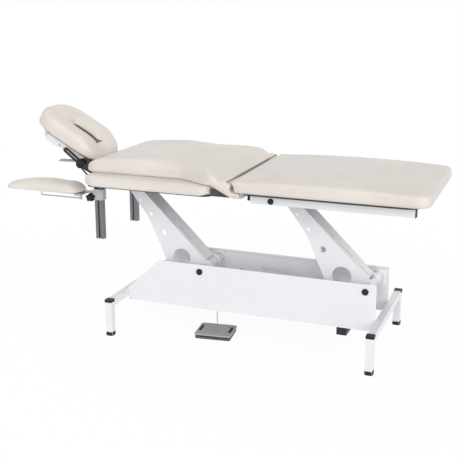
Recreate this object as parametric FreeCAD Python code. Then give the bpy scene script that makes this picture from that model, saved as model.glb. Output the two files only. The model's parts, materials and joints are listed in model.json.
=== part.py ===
import FreeCAD, Part
import math
import os

# Electric massage table: a floor base with two parallel arms lifts a padded top of three sections.
# Millimetres, +Z up, +X towards the foot end, -Y is the front. Lengths along X are measured from
# the middle of the base, and every piece is moved by origin_shift when it is saved, so that the
# origin lies on the floor under the middle of the whole table.

os.makedirs("parts", exist_ok=True)
Vector = FreeCAD.Vector
Y_AXIS = Vector(0, 1, 0)
Z_AXIS = Vector(0, 0, 1)
origin_shift = 164.0

# Clearances
running_gap = 0.05
slide_gap = 0.1
soft_gap = 0.4
side_gap = 1.0

# Base frame
leg_span_x = 1222.0
leg_span_y = 612.0
tube_size = 32.0
tube_wall = 2.0
leg_height = 164.0
cap_height = 12.0
cap_lip = 2.0
foot_size = 38.0
foot_height = 18.0
foot_floor = 6.0
foot_round = 12.0
foot_edge = 3.0
cross_top = 174.0
panel_outer = 140.0
panel_sheet = 3.0
panel_bottom = 124.0
panel_top = 336.0
panel_shoulder = (-447.0, 323.0)
panel_crown = (-431.0, 336.0)
panel_rest = 13.0
lip_width = 14.0
bearing_sheet = 8.0

# Lift: two equal arms between four pivots
head_pivot_x = -229.0
foot_pivot_x = 546.0
pivot_z = 302.0
arm_length = 557.0
arm_angle = 45.4
axle_radius = 10.0
axle_cap_radius = 15.0
axle_cap_height = 5.0
hub_radius = 17.0
arm_half = 52.0
arm_sheet = 3.5
fold_start = 18.0
fold_rise = 0.02
web_start = 26.0
web_end = arm_length - 77.0
heel_radius = 30.0
toe_radius = 20.0
arm_belly = (115.0, 155.0, 20.0)
arm_waist = (arm_length - 205.0, 64.0, 300.0)
arm_neck = (arm_length - 47.0, 43.0, 60.0)
arm_holes = ((arm_length - 111.0, 38.0, 5.0), (arm_length - 195.0, 42.0, 8.0),
             (arm_length - 303.0, 53.0, 14.0), (110.0, 70.0, 44.0))
web_slots = ((28.0, 100.0), (144.0, 229.0), (262.0, 330.0))
slot_width = 11.0
slot_y = -14.0
top_shift_x = -arm_length * math.cos(math.radians(arm_angle))
top_pivot_z = pivot_z + arm_length * math.sin(math.radians(arm_angle))

# Linear actuator that swings a fork on the hub of the arm at the head end
actuator_slope = 8.0
actuator_drop = 70.0
actuator_lead = 4.67
fork_inner = 14.0
fork_sheet = 10.0
fork_half = 24.0
fork_slot = (58.0, 98.0)
fork_slot_width = 24.0
cross_pin_radius = 10.0
rod_radius = 15.0
rod_length = 300.0
rod_eye = 16.0
tube_radius = 25.0
tube_start = 90.0
gear_start = 500.0
gear_length = 60.0
motor_offset = 82.0
motor_radius = 38.0
motor_length = 222.0
motor_cap = 26.0
stay_sheet = 6.0
stay_start = 112.0

# Control box under a tray
box_x = (414.0, 461.0)
box_y = (-100.0, 20.0)
box_height = 68.0
tray_z = 140.0
tray_sheet = 3.0
tray_margin = 6.0
gland_radius = 7.0
gland_length = 6.0
gland_z = 105.0
gland_x = 440.0

# Upper frame: every height from here on is counted from its top, which the arms carry
frame_top = top_pivot_z + 16.4
inner_rail_y = (100.0, 130.0)
inner_rail_height = 32.0
inner_rail_x = (head_pivot_x + top_shift_x - 30.0, 56.0)
rail_y = (240.0, 270.0)
rail_z = (frame_top - 32.0, frame_top + 2.0)
rail_x = (63.0, 760.0)
rail_cap = 4.0
bracket_length = 12.0
member_width = 32.0
foot_member_x = 700.0

# Foot section: board and cushion that rest on the side rails
top_half = 349.0
leg_board_z = (frame_top + 7.0, frame_top + 22.0)
leg_cushion_end = 832.0
leg_cushion_side = frame_top + 72.0
leg_cushion_crown = frame_top + 85.0
leg_corner = 60.0
leg_board_inset = 50.0

# Back section and its hinge
hinge_x = -40.0
hinge_z = frame_top + 25.0
hinge_pin = 6.0
hinge_eye = 16.0
knuckle_radius = 50.0
knuckle_hollow = 22.0
back_tube_y = (150.0, 175.0)
back_tube_height = 25.0
back_tube_end = -750.0
back_board_z = (hinge_z + 5.0, hinge_z + 20.0)
back_board_half = 178.0
back_board_x = (-748.0, -62.0)
back_end = -753.0
back_half = 272.0
back_flare_x = (-250.0, -112.0)
back_corner = 80.0
back_edge = 30.0
back_rise = ((-753.0, 36.0), (-719.0, 66.0), (-640.0, 88.0), (-558.0, 96.0), (-401.0, 103.0),
             (-227.0, 96.0), (-128.0, 82.0), (-66.0, 49.0))
back_top = [(x, hinge_z + rise) for x, rise in back_rise]
hip_y = 200.0
hip_bottom = hinge_z - 26.0
hip_end = 50.0
hip_slope = ((-75.0, hinge_z + 11.0), (-6.0, hinge_z - 24.0))

# Wings under the back section
wing_pivot = (-145.0, 283.0)
wing_inner = 185.0
wing_head = -715.0
wing_hip_radius = 66.0
wing_inner_radius = 40.0
wing_head_radius = 60.0
wing_board_inset = 12.0
wing_board_z = (hinge_z - 31.0, hinge_z - 23.0)
wing_pad_top = hinge_z + 17.0
wing_pin = 6.0
hip_bar_width = 40.0

# Crossbar at the head end with the armrest posts
crossbar_x = (-736.0, -711.0)
crossbar_half = 186.0
crossbar_bottom = hinge_z - 76.0
post_x = (-736.0, -696.0)
post_y = (162.5, 187.5)
post_bottom = hinge_z - 316.0
post_slot = 10.0
post_slot_depth = 8.0
sleeve_wall = 5.0
sleeve_z = (hinge_z - 128.0, crossbar_bottom - 2.0)
lug_length = 17.0
lug_z = (hinge_z - 128.0, hinge_z - 100.0)
knob_radius = 20.0
knob_length = 22.0
knob_z = hinge_z - 115.0
carriage_plate_z = (hinge_z - 97.0, hinge_z - 91.0)
swivel = (-775.0, 245.0)
swivel_pin = 6.0
pad_x = (-1160.0, -768.0)
pad_y = (155.0, 285.0)
pad_z = (hinge_z - 87.0, hinge_z - 37.0)
pad_rise = ((-1159.0, 23.0), (-1045.0, 45.0), (-934.0, 50.0), (-853.0, 40.0), (-812.0, 26.0))
pad_end_rise = 12.0
pad_back = [(x, pad_z[0] + rise) for x, rise in pad_rise]
arm_plate_x = (-1050.0, -765.0)
arm_plate_half = 20.0
support_bar = 3.0
support_z = hinge_z - 112.0
support_end = -985.0

# Head section
head_x = -825.0
head_z = hinge_z + 28.0
head_tilt = 29.0
head_upright = 36.0
head_pin = 8.0
head_hub = 22.0
head_reach = 330.0
head_half = 150.0
head_tip = 120.0
head_end_radius = 68.0
head_heel = 105.0
head_board_n = (24.0, 36.0)
head_board_half = 120.0
head_board_u = (-36.0, 318.0)
head_cushion_n = (36.0, 114.0)
head_edge = 30.0
face_slot_u = (2.0, 190.0)
face_slot_half = 50.0
face_slot_lip = 18.0
side_plate_y = (109.0, 115.0)
side_plate = ((250.0, head_board_n[0]), (245.0, -1.0), (214.0, -14.0), (173.0, -13.0), (121.0, -6.0))
head_tie = (205.0, 2.0, 9.0)
head_bar_y = (141.0, 149.0)
head_bar_end = (98.0, 15.0)
head_bar_slot = 8.0
hinge_plate_y = (152.0, 158.0)
lever_y = (79.0, 107.0)
lever_rod = 4.0
lever_length = 119.0
lever_angle = 3.0

# Pedal on the floor
pedal_x = -154.0
pedal_y = -126.0
pedal_turn = 7.0
pedal_length = 172.0
pedal_width = 146.0
pedal_top = 24.0
pedal_base = 11.5
pedal_plate_bottom = 17.5
pedal_pin_z = 15.2
pedal_pin = 2.5
pedal_lug_y = (42.0, 48.0)

# Cord of the pedal: two free stretches with the spare length wound between them
cord_radius = 2.5
cord_bend = 0.45
coil_radius = 27.5
coil_centre = (-236.5, 262.0)
coil_height = 22.0
pedal_route = ((-179.2, -52, 7), (-188, -22, 4), (-204, 18, 3), (-224, 66, 3.4), (-243, 114, 3),
               (-256, 160, 3.3), (-262, 208, 3), (-264, 254, 3.2))
box_route = ((-221, 289, 19), (-178, 290, 14), (-128, 281, 4), (-74, 266, 3), (-16, 249, 3.2),
             (42, 240, 3), (100, 224, 3.2), (158, 218, 3), (216, 205, 3.2), (274, 201, 3),
             (332, 188, 3.3), (386, 167, 3), (425, 135, 14), (443, 104, 42), (445, 74, 78),
             (441, 48, 101), (440, 26, 105))

SIDES = (("front", -1), ("rear", 1))


def at(u, v, plane, depth):
    # A point of a flat outline, laid in the named plane.
    if plane == "xz":
        return Vector(u, depth, v)
    if plane == "xy":
        return Vector(u, v, depth)
    return Vector(depth, u, v)


def outline(corners, plane, depth):
    # A closed wire through the corners; a third number rounds its corner with that radius.
    points = [at(c[0], c[1], plane, depth) for c in corners]
    ends = []
    arcs = []
    count = len(points)
    for i in range(count):
        here = points[i]
        radius = corners[i][2] if len(corners[i]) > 2 else 0.0
        if radius == 0.0:
            ends.append((here, here))
            arcs.append(None)
            continue
        back = (points[i - 1] - here).normalize()
        ahead = (points[(i + 1) % count] - here).normalize()
        half = back.getAngle(ahead) / 2.0
        reach = radius / math.tan(half)
        inward = (back + ahead).normalize()
        middle = here + inward * (radius / math.sin(half) - radius)
        start = here + back * reach
        end = here + ahead * reach
        ends.append((start, end))
        arcs.append(Part.Arc(start, middle, end).toShape())
    edges = []
    for i in range(count):
        if arcs[i] is not None:
            edges.append(arcs[i])
        start = ends[i][1]
        end = ends[(i + 1) % count][0]
        if start.distanceToPoint(end) > 1e-6:
            edges.append(Part.makeLine(start, end))
    return Part.Wire(edges)


def prism(corners, plane, low, high):
    directions = {"xz": Vector(0, 1, 0), "xy": Vector(0, 0, 1), "yz": Vector(1, 0, 0)}
    face = Part.Face(outline(corners, plane, low))
    return face.extrude(directions[plane] * (high - low))


def block(x, y, z):
    return Part.makeBox(x[1] - x[0], y[1] - y[0], z[1] - z[0], Vector(x[0], y[0], z[0]))


def disc_y(x, z, radius, low, high):
    return Part.makeCylinder(radius, high - low, Vector(x, low, z), Y_AXIS)


def disc_z(x, y, radius, low, high):
    return Part.makeCylinder(radius, high - low, Vector(x, y, low), Z_AXIS)


def box_tube(x, y, z, along):
    # A square tube: a block with a square bore along one axis.
    wall = tube_wall
    spans = [x, y, z]
    inner = [s if i == along else (s[0] + wall, s[1] - wall) for i, s in enumerate(spans)]
    return block(x, y, z).cut(block(*inner))


def mirrored(shape):
    return shape.mirror(Vector(0, 0, 0), Y_AXIS)


def sided(shape, side):
    # Shapes are drawn on the rear side, +Y, and mirrored for the front.
    return shape if side > 0 else mirrored(shape)


def turned(shape, x, z, degrees):
    # Turned about a line along Y; a positive angle raises what lies towards the head end.
    result = shape.copy()
    result.rotate(Vector(x, 0, z), Y_AXIS, degrees)
    return result


def save(name, shape):
    solid = shape.removeSplitter() if len(shape.Solids) == 1 else shape
    solid = solid.copy()
    solid.translate(Vector(origin_shift, 0, 0))
    if not solid.isValid():
        print("not valid:", name)
    solid.exportStep("parts/" + name + ".step")
    print(name, len(solid.Solids), round(solid.Volume / 1000.0, 1), "cm3")


def tangent_point(point, centre, radius, side):
    # Where a line from the point touches the circle, on its left (side 1) or right (side -1).
    dx = centre[0] - point[0]
    dy = centre[1] - point[1]
    distance = math.hypot(dx, dy)
    angle = math.atan2(dy, dx) + side * math.asin(radius / distance)
    reach = math.sqrt(distance ** 2 - radius ** 2)
    return (point[0] + reach * math.cos(angle), point[1] + reach * math.sin(angle))


# Base

half_x = leg_span_x / 2.0
half_y = leg_span_y / 2.0
half_tube = tube_size / 2.0
panel_inner = panel_outer - panel_sheet
bearing_inner = panel_inner - bearing_sheet
LEGS = (("head", -1), ("foot", 1))


def leg(x, y):
    return box_tube((x - half_tube, x + half_tube), (y - half_tube, y + half_tube),
                    (foot_floor, leg_height), 2)


def leg_cap(x, y, side):
    # The cap has no lip on its inner side, where the cross tube butts on it.
    low = y - half_tube if side > 0 else y - half_tube - cap_lip
    high = y + half_tube + cap_lip if side > 0 else y + half_tube
    cap = block((x - half_tube - cap_lip, x + half_tube + cap_lip), (low, high),
                (leg_height, leg_height + cap_height))
    upright = [e for e in cap.Edges if e.BoundBox.ZLength > cap_height / 2.0]
    return cap.makeFillet(cap_lip, upright)


def leg_foot(x, y):
    # A rubber cup that takes the end of the leg.
    half = foot_size / 2.0
    cup = block((x - half, x + half), (y - half, y + half), (0.0, foot_height))
    edges = [e for e in cup.Edges if e.BoundBox.ZLength > foot_height / 2.0]
    cup = cup.makeFillet(foot_round, edges)
    cup = cup.makeFillet(foot_edge, [e for e in cup.Edges if e.BoundBox.ZMax < 0.01])
    return cup.cut(block((x - half_tube, x + half_tube), (y - half_tube, y + half_tube),
                         (foot_floor, foot_height)))


def cross_tube(x):
    return box_tube((x - half_tube, x + half_tube), (half_tube - half_y, half_y - half_tube),
                    (cross_top - tube_size, cross_top), 1)


def bearing_plate(x, left, right):
    low = pivot_z - 60.0 if left > right else pivot_z - 38.0
    return prism(((x - left, low, 8.0), (x + right, low, 8.0), (x + right, pivot_z + 28.0, 8.0),
                  (x - left, pivot_z + 28.0, 8.0)), "xz", bearing_inner, panel_inner)


def side_panel(side):
    # Sheet panel between the cross tubes; its head end rests on the tube and slopes up from it.
    butt = half_x - half_tube
    corners = ((-butt, panel_bottom), (-butt, cross_top), (-butt - panel_rest, cross_top),
               (panel_shoulder[0], panel_shoulder[1], 12.0), (panel_crown[0], panel_crown[1], 8.0),
               (butt, panel_top), (butt, panel_bottom))
    panel = prism(corners, "xz", panel_inner, panel_outer)
    panel = panel.fuse(bearing_plate(head_pivot_x, 50.0, 18.0))
    panel = panel.fuse(bearing_plate(foot_pivot_x, 38.0, 28.0))
    if side > 0:
        lip = block((panel_crown[0] + 12.0, butt), (panel_inner - lip_width, panel_inner),
                    (panel_top - panel_sheet, panel_top))
        panel = panel.fuse(lip)
    for x in (head_pivot_x, foot_pivot_x):
        panel = panel.cut(disc_y(x, pivot_z, axle_radius, 0.0, panel_outer + 1.0))
    return sided(panel, side)


def lower_axle(x):
    return disc_y(x, pivot_z, axle_radius, -panel_outer, panel_outer)


def base_caps():
    pieces = [leg_cap(ex * half_x, ey * half_y, ey) for _, ex in LEGS for _, ey in SIDES]
    for x in (head_pivot_x, foot_pivot_x):
        for side in (-1, 1):
            cap = disc_y(x, pivot_z, axle_cap_radius, panel_outer, panel_outer + axle_cap_height)
            rim = [e for e in cap.Edges if abs(e.BoundBox.YMax - cap.BoundBox.YMax) < 0.01
                   and e.BoundBox.YLength < 0.01]
            pieces.append(sided(cap.makeFillet(2.0, rim), side))
    return Part.makeCompound(pieces)


def control_tray():
    # A flat strip from panel to panel that the control box hangs from.
    tray = block((box_x[0] - tray_margin, box_x[1] + tray_margin), (-panel_inner, panel_inner),
                 (tray_z, tray_z + tray_sheet))
    return tray


def control_box():
    # Moulded box with a mains inlet in its foot end and a cord gland at its rear.
    low = tray_z - box_height
    body = block(box_x, box_y, (low, tray_z))
    upright = [e for e in body.Edges if e.BoundBox.ZLength > box_height / 2.0]
    body = body.makeFillet(5.0, upright)
    inlet_y = (box_y[0] + box_y[1]) / 2.0
    inlet_z = low + box_height / 2.0
    depth = 14.0
    recess = prism(((inlet_y - 13.5, inlet_z - 10.0, 3.0), (inlet_y + 13.5, inlet_z - 10.0, 3.0),
                    (inlet_y + 13.5, inlet_z + 10.0, 6.0), (inlet_y - 13.5, inlet_z + 10.0, 6.0)),
                   "yz", box_x[1] - depth, box_x[1] + 1.0)
    body = body.cut(recess)
    gland = disc_y(gland_x, gland_z, gland_radius, box_y[1], box_y[1] + gland_length)
    return body.fuse(gland)


for end, ex in LEGS:
    save("cross_tube_" + end, cross_tube(ex * half_x))
    for name, ey in SIDES:
        save("leg_" + end + "_" + name, leg(ex * half_x, ey * half_y))
        save("foot_" + end + "_" + name, leg_foot(ex * half_x, ey * half_y))
for name, side in SIDES:
    save("side_panel_" + name, side_panel(side))
save("base_caps", base_caps())
save("lower_axle_head", lower_axle(head_pivot_x))
save("lower_axle_foot", lower_axle(foot_pivot_x))
save("control_tray", control_tray())
save("control_box", control_box())


# Lift arms: the most shaped pieces, tapered channels with holes in their cheeks and slots in
# their web. Drawn along X from the lower pivot, with the open side up, and then turned.

def fold_line(a):
    return -fold_start + fold_rise * a


def cheek(low, high):
    top = (arm_length, 0.0)
    upper = tangent_point(arm_neck, top, toe_radius, 1)
    lower = tangent_point(arm_belly, (0.0, 0.0), heel_radius, -1)
    corners = ((0.0, fold_line(0.0)), (arm_length, fold_line(arm_length)), upper, arm_neck,
               arm_waist, arm_belly, lower)
    plate = prism(corners, "xz", low, high)
    plate = plate.fuse(disc_y(0.0, 0.0, heel_radius, low, high))
    plate = plate.fuse(disc_y(arm_length, 0.0, toe_radius, low, high))
    for a, b, radius in arm_holes:
        plate = plate.cut(disc_y(a, b, radius, low - 1.0, high + 1.0))
    return plate


def channel():
    inner = arm_half - arm_sheet
    shape = cheek(inner, arm_half).fuse(cheek(-arm_half, -inner))
    web = prism(((web_start, fold_line(web_start)), (web_end, fold_line(web_end)),
                 (web_end, fold_line(web_end) + arm_sheet),
                 (web_start, fold_line(web_start) + arm_sheet)), "xz", -arm_half, arm_half)
    half = slot_width / 2.0
    for start, end in web_slots:
        rounding = half - 0.1
        corners = ((start, slot_y - half, rounding), (end, slot_y - half, rounding),
                   (end, slot_y + half, rounding), (start, slot_y + half, rounding))
        web = web.cut(prism(corners, "xy", -fold_start - 10.0, 10.0))
    shape = shape.fuse(web)
    shape = shape.fuse(disc_y(0.0, 0.0, hub_radius, side_gap - bearing_inner, bearing_inner - side_gap))
    reach = inner_rail_y[0] - side_gap
    shape = shape.fuse(disc_y(arm_length, 0.0, hub_radius, -reach, reach))
    bore = axle_radius + running_gap
    for a in (0.0, arm_length):
        shape = shape.cut(disc_y(a, 0.0, bore, -panel_outer, panel_outer))
    return shape


def placed_arm(shape, pivot_x):
    result = turned(shape, 0.0, 0.0, arm_angle - 180.0)
    result.translate(Vector(pivot_x, 0, pivot_z))
    return result


def fork():
    # Two plates that hang from the hub; their slots hold the cross pin of the rod.
    lead = math.degrees(actuator_lead / actuator_drop)
    plate_low = -fork_slot[1] - 8.0
    corners = ((-fork_half, 0.0), (-fork_half, plate_low, 16.0), (fork_half, plate_low, 16.0),
               (fork_half, 0.0))
    half = fork_slot_width / 2.0
    slot = ((-half, -fork_slot[0], half - 0.1), (-half, -fork_slot[1], half - 0.1),
            (half, -fork_slot[1], half - 0.1), (half, -fork_slot[0], half - 0.1))
    plate = prism(corners, "xz", fork_inner, fork_inner + fork_sheet)
    plate = plate.fuse(disc_y(0.0, 0.0, fork_half, fork_inner, fork_inner + fork_sheet))
    plate = plate.cut(prism(slot, "xz", 0.0, arm_half))
    plate = plate.cut(disc_y(0.0, 0.0, hub_radius - 1.0, 0.0, arm_half))
    pair = turned(plate, 0.0, 0.0, actuator_slope + lead)
    pair.translate(Vector(head_pivot_x, 0, pivot_z))
    return pair.fuse(mirrored(pair))


save("arm_head", placed_arm(channel(), head_pivot_x).fuse(fork()))
save("arm_foot", placed_arm(channel(), foot_pivot_x))


# Actuator, drawn along X from the middle place of its cross pin and then turned down its slope

def placed_actuator(shape):
    slope = math.radians(actuator_slope)
    result = turned(shape, 0.0, 0.0, actuator_slope)
    result.translate(Vector(head_pivot_x - actuator_drop * math.sin(slope), 0,
                            pivot_z - actuator_drop * math.cos(slope)))
    return result


def rod_x(x, z, radius, y=0.0):
    return Part.makeCylinder(radius, x[1] - x[0], Vector(x[0], y, z), Vector(1, 0, 0))


def stay(x, bottom, top):
    return block((x, x + stay_sheet), (-panel_inner, panel_inner), (bottom, top))


def actuator():
    # Tube, gear case and motor in one unit, held by two cross stays between the side panels.
    gear_end = gear_start + gear_length
    unit = rod_x((tube_start, gear_start), 0.0, tube_radius)
    case = prism(((gear_start, -34.0, 8.0), (gear_end, -34.0, 8.0), (gear_end, motor_offset + 30.0, 20.0),
                  (gear_start, motor_offset + 42.0, 14.0)), "xz", -45.0, 45.0)
    motor_start = gear_start - motor_length
    unit = unit.fuse(case)
    unit = unit.fuse(rod_x((motor_start, gear_start), motor_offset, motor_radius))
    unit = unit.fuse(rod_x((motor_start - motor_cap, motor_start), motor_offset, motor_radius - 2.0))
    unit = unit.fuse(stay(stay_start, -30.0, 34.0))
    unit = unit.fuse(stay(gear_end, -28.0, 53.0))
    return unit.cut(rod_x((tube_start - 1.0, gear_start - 10.0), 0.0, rod_radius + running_gap))


def actuator_rod():
    rod = rod_x((0.0, rod_length), 0.0, rod_radius)
    eye_half = fork_inner - side_gap
    ball = disc_y(0.0, 0.0, rod_eye, -eye_half, eye_half)
    rod = rod.fuse(ball)
    rod = rod.common(block((-rod_eye, rod_radius + rod_eye), (-eye_half, eye_half), (-30.0, 30.0))
                     .fuse(block((rod_radius + rod_eye, rod_length), (-30.0, 30.0), (-30.0, 30.0))))
    pin_half = fork_inner + fork_sheet + 2.0
    rod = rod.fuse(disc_y(0.0, 0.0, cross_pin_radius, -pin_half, pin_half))
    rod.translate(Vector(-actuator_lead, 0, 0))
    return rod


save("actuator", placed_actuator(actuator()))
save("actuator_rod", placed_actuator(actuator_rod()))


# Upper frame

def cradle():
    # Two inner rails joined by a tie and a cross member, with the hinge brackets of the back.
    z = (frame_top - inner_rail_height, frame_top)
    member_x = (inner_rail_x[1], inner_rail_x[1] + member_width)
    shape = box_tube(member_x, (-rail_y[0], rail_y[0]), z, 1)
    tie_half = inner_rail_y[0]
    shape = shape.fuse(block((inner_rail_x[0], inner_rail_x[0] + stay_sheet), (-tie_half, tie_half), z))
    bracket = prism(((inner_rail_x[1], z[0]), (inner_rail_x[1], frame_top),
                     (hinge_x + 40.0, frame_top - 3.0), (hinge_x + 9.0, hinge_z - 6.0),
                     (hinge_x - 13.0, hinge_z - 6.0), (hinge_x + 24.0, z[0] + 6.0)),
                    "xz", back_tube_y[0] - 12.0, back_tube_y[0] - 4.0)
    bracket = bracket.fuse(disc_y(hinge_x, hinge_z, hinge_eye - 1.0, back_tube_y[0] - 12.0,
                                  back_tube_y[0] - 4.0))
    bracket = bracket.fuse(disc_y(hinge_x, hinge_z, hinge_pin, back_tube_y[0] - 12.0, back_tube_y[1] + 2.0))
    for side in (-1, 1):
        rail = box_tube(inner_rail_x, inner_rail_y, z, 0)
        shape = shape.fuse(sided(rail, side))
        shape = shape.fuse(sided(bracket, side))
    axle_x = head_pivot_x + top_shift_x
    return shape.fuse(disc_y(axle_x, top_pivot_z, axle_radius, -inner_rail_y[1], inner_rail_y[1]))


def side_rail():
    # Long tube under the foot section, with the dark bracket at its head end left to the caps.
    rail = box_tube(rail_x, rail_y, rail_z, 0)
    return rail.cut(disc_y(foot_pivot_x + top_shift_x, top_pivot_z, axle_radius, 0.0, rail_y[1]))


def rail_caps():
    # Black plastic: end caps, round pivot caps and the angle pieces at the head ends.
    pieces = []
    for side in (-1, 1):
        end = block((rail_x[1], rail_x[1] + rail_cap), rail_y, rail_z)
        angle = block((rail_x[0] - bracket_length, rail_x[0]), rail_y, (rail_z[0] + 12.0, rail_z[1] + 4.0))
        cap = disc_y(foot_pivot_x + top_shift_x, top_pivot_z, 13.0, rail_y[1], rail_y[1] + 4.0)
        pieces += [sided(end, side), sided(angle, side), sided(cap, side)]
    return Part.makeCompound(pieces)


def foot_member():
    return box_tube((foot_member_x, foot_member_x + member_width), (-rail_y[0], rail_y[0]), rail_z, 1)


def upper_axle_foot():
    return disc_y(foot_pivot_x + top_shift_x, top_pivot_z, axle_radius, -rail_y[1], rail_y[1])


def leg_board():
    # Board on the side rails; spacers along the rails carry it, and its corners clear the hips.
    clear = hip_end + 5.0
    inset = leg_board_inset
    start = hinge_x + knuckle_radius + 4.0
    end = leg_cushion_end - inset
    half = top_half - inset
    corners = ((start, -hip_y + 2.0), (clear, -hip_y + 2.0), (clear, -half), (end, -half, leg_corner),
               (end, half, leg_corner), (clear, half), (clear, hip_y - 2.0), (start, hip_y - 2.0))
    board = prism(corners, "xy", leg_board_z[0], leg_board_z[1])
    for side in (-1, 1):
        spacer = block((rail_x[0] + 40.0, rail_x[1] - 20.0), (rail_y[0] + 5.0, rail_y[1] - 5.0),
                       (rail_z[1], leg_board_z[0]))
        board = board.fuse(sided(spacer, side))
    return board


def top_edges(shape, z):
    return [e for e in shape.Edges if e.BoundBox.ZMin > z - 0.01]


def leg_cushion():
    # Flat cushion with a low crown and a hollow end that follows the knuckle of the back.
    bottom = leg_board_z[1]
    reach = knuckle_radius + soft_gap
    low_x = hinge_x + math.sqrt(reach ** 2 - (bottom - hinge_z) ** 2)
    high = leg_cushion_side - hinge_z
    high_x = hinge_x + math.sqrt(reach ** 2 - high ** 2)
    turn = math.radians(35.0)
    arc = Part.Arc(Vector(low_x, 0, bottom),
                   Vector(hinge_x + reach * math.cos(turn), 0, hinge_z + reach * math.sin(turn)),
                   Vector(high_x, 0, leg_cushion_side))
    end = leg_cushion_end
    crown = Part.Arc(Vector(high_x, 0, leg_cushion_side), Vector((high_x + end) / 2.0, 0, leg_cushion_crown),
                     Vector(end, 0, leg_cushion_side))
    wire = Part.Wire([arc.toShape(), crown.toShape(),
                      Part.makeLine(Vector(end, 0, leg_cushion_side), Vector(end, 0, bottom)),
                      Part.makeLine(Vector(end, 0, bottom), Vector(low_x, 0, bottom))])
    profile = Part.Face(wire).extrude(Vector(0, 2.0 * top_half, 0))
    profile.translate(Vector(0, -top_half, 0))
    start = hinge_x
    body = prism(((start, -top_half), (end, -top_half, leg_corner), (end, top_half, leg_corner),
                  (start, top_half)), "xy", bottom, leg_cushion_crown)
    sides = [e for e in top_edges(body, leg_cushion_crown) if e.BoundBox.XMax > start + 1.0]
    body = body.makeFillet(leg_cushion_crown - leg_cushion_side + 2.0, sides)
    return body.common(profile)


save("cradle", cradle())
for name, side in SIDES:
    save("side_rail_" + name, sided(side_rail(), side))
save("rail_caps", rail_caps())
save("foot_member", foot_member())
save("upper_axle_foot", upper_axle_foot())
save("leg_board", leg_board())
save("leg_cushion", leg_cushion())


# Back section

def back_frame():
    # Two tubes on hinge eyes, a crossbar for the posts and two hip bars for the wings.
    tube_z = (back_board_z[0] - back_tube_height, back_board_z[0])
    crossbar_top = crossbar_bottom + wing_board_z[0] - 0.3 - crossbar_bottom
    shape = box_tube(crossbar_x, (-crossbar_half, crossbar_half), (crossbar_bottom, crossbar_top), 1)
    hip_z = (wing_board_z[0] - 8.3, wing_board_z[0] - 0.3)
    for side in (-1, 1):
        tube = box_tube((back_tube_end, hinge_x), back_tube_y, tube_z, 0)
        tube = tube.fuse(disc_y(hinge_x, hinge_z, hinge_eye, back_tube_y[0], back_tube_y[1]))
        tube = tube.cut(disc_y(hinge_x, hinge_z, hinge_pin + running_gap, back_tube_y[0] - 1.0,
                               back_tube_y[1] + 1.0))
        tube = tube.fuse(block(crossbar_x, back_tube_y, (crossbar_top, tube_z[0])))
        bar_x = (wing_pivot[0] - hip_bar_width / 2.0, wing_pivot[0] + hip_bar_width / 2.0)
        hip = block(bar_x, (back_tube_y[0], wing_pivot[1] + 17.0), hip_z)
        hip = hip.fuse(block(bar_x, back_tube_y, (hip_z[1], tube_z[0])))
        hip = hip.fuse(disc_z(wing_pivot[0], wing_pivot[1], wing_pin, hip_z[1], wing_board_z[1] - 0.5))
        shape = shape.fuse(sided(tube.fuse(hip), side))
    return shape


def crossbar_caps():
    pieces = []
    for side in (-1, 1):
        cap = block(crossbar_x, (crossbar_half, crossbar_half + 4.0),
                    (crossbar_bottom, wing_board_z[0] - 0.3))
        pieces.append(sided(cap, side))
    return Part.makeCompound(pieces)


def back_board():
    half = back_board_half
    return prism(((back_board_x[0], -half, 20.0), (back_board_x[1], -half), (back_board_x[1], half),
                  (back_board_x[0], half, 20.0)), "xy", back_board_z[0], back_board_z[1])


def back_cushion():
    # Thick cushion with a crown; a round knuckle at its hinge and a hip piece at either side.
    bottom = back_board_z[1]
    ceiling = max(point[1] for point in back_top) + 1.0
    start = back_flare_x[0]
    flare = back_flare_x[1]
    far = hinge_x + knuckle_radius
    corners = ((back_end, -back_half, back_corner), (start, -back_half, 60.0), (flare, -top_half, 30.0),
               (far, -top_half), (far, top_half), (flare, top_half, 30.0), (start, back_half, 60.0),
               (back_end, back_half, back_corner))
    body = prism(corners, "xy", hinge_z, ceiling)
    edges = [e for e in top_edges(body, ceiling) if e.BoundBox.XMin < far - 1.0]
    body = body.makeFillet(back_edge, edges)

    def on_circle(radius, degrees):
        turn = math.radians(degrees)
        return Vector(hinge_x + radius * math.cos(turn), 0, hinge_z + radius * math.sin(turn))

    inner = math.degrees(math.asin((bottom - hinge_z) / knuckle_hollow))
    lower = 25.0
    upper = 120.0
    crest = Part.BSplineCurve()
    crest.interpolate([Vector(x, 0, z) for x, z in back_top] + [on_circle(knuckle_radius, upper)])
    foot = Vector(back_end, 0, bottom)
    edges = [Part.makeLine(foot, on_circle(knuckle_hollow, 180.0 - inner)),
             Part.Arc(on_circle(knuckle_hollow, 180.0 - inner), on_circle(knuckle_hollow, 80.0),
                      on_circle(knuckle_hollow, lower)).toShape(),
             Part.makeLine(on_circle(knuckle_hollow, lower), on_circle(knuckle_radius, lower)),
             Part.Arc(on_circle(knuckle_radius, lower), on_circle(knuckle_radius, 70.0),
                      on_circle(knuckle_radius, upper)).toShape(),
             crest.toShape(),
             Part.makeLine(Vector(back_end, 0, back_top[0][1]), foot)]
    profile = Part.Face(Part.Wire(Part.__sortEdges__(edges))).extrude(Vector(0, 2.0 * top_half, 0))
    profile.translate(Vector(0, -top_half, 0))
    cushion = body.common(profile)
    top = leg_board_z[1] - soft_gap
    hip = prism((hip_slope[0], (hip_slope[1][0], hip_slope[1][1], 10.0), (hip_end - 40.0, hip_bottom),
                 (hip_end, hip_bottom, 8.0), (hip_end, top, 5.0), (hinge_x + 45.0, top),
                 (hinge_x, bottom + 8.0), (hip_slope[0][0], bottom + 1.0)), "xz", hip_y, top_half)
    for side in (-1, 1):
        cushion = cushion.fuse(sided(hip, side))
    return cushion


save("back_frame", back_frame())
save("crossbar_caps", crossbar_caps())
save("back_board", back_board())
save("back_cushion", back_cushion())


# Wings

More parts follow.
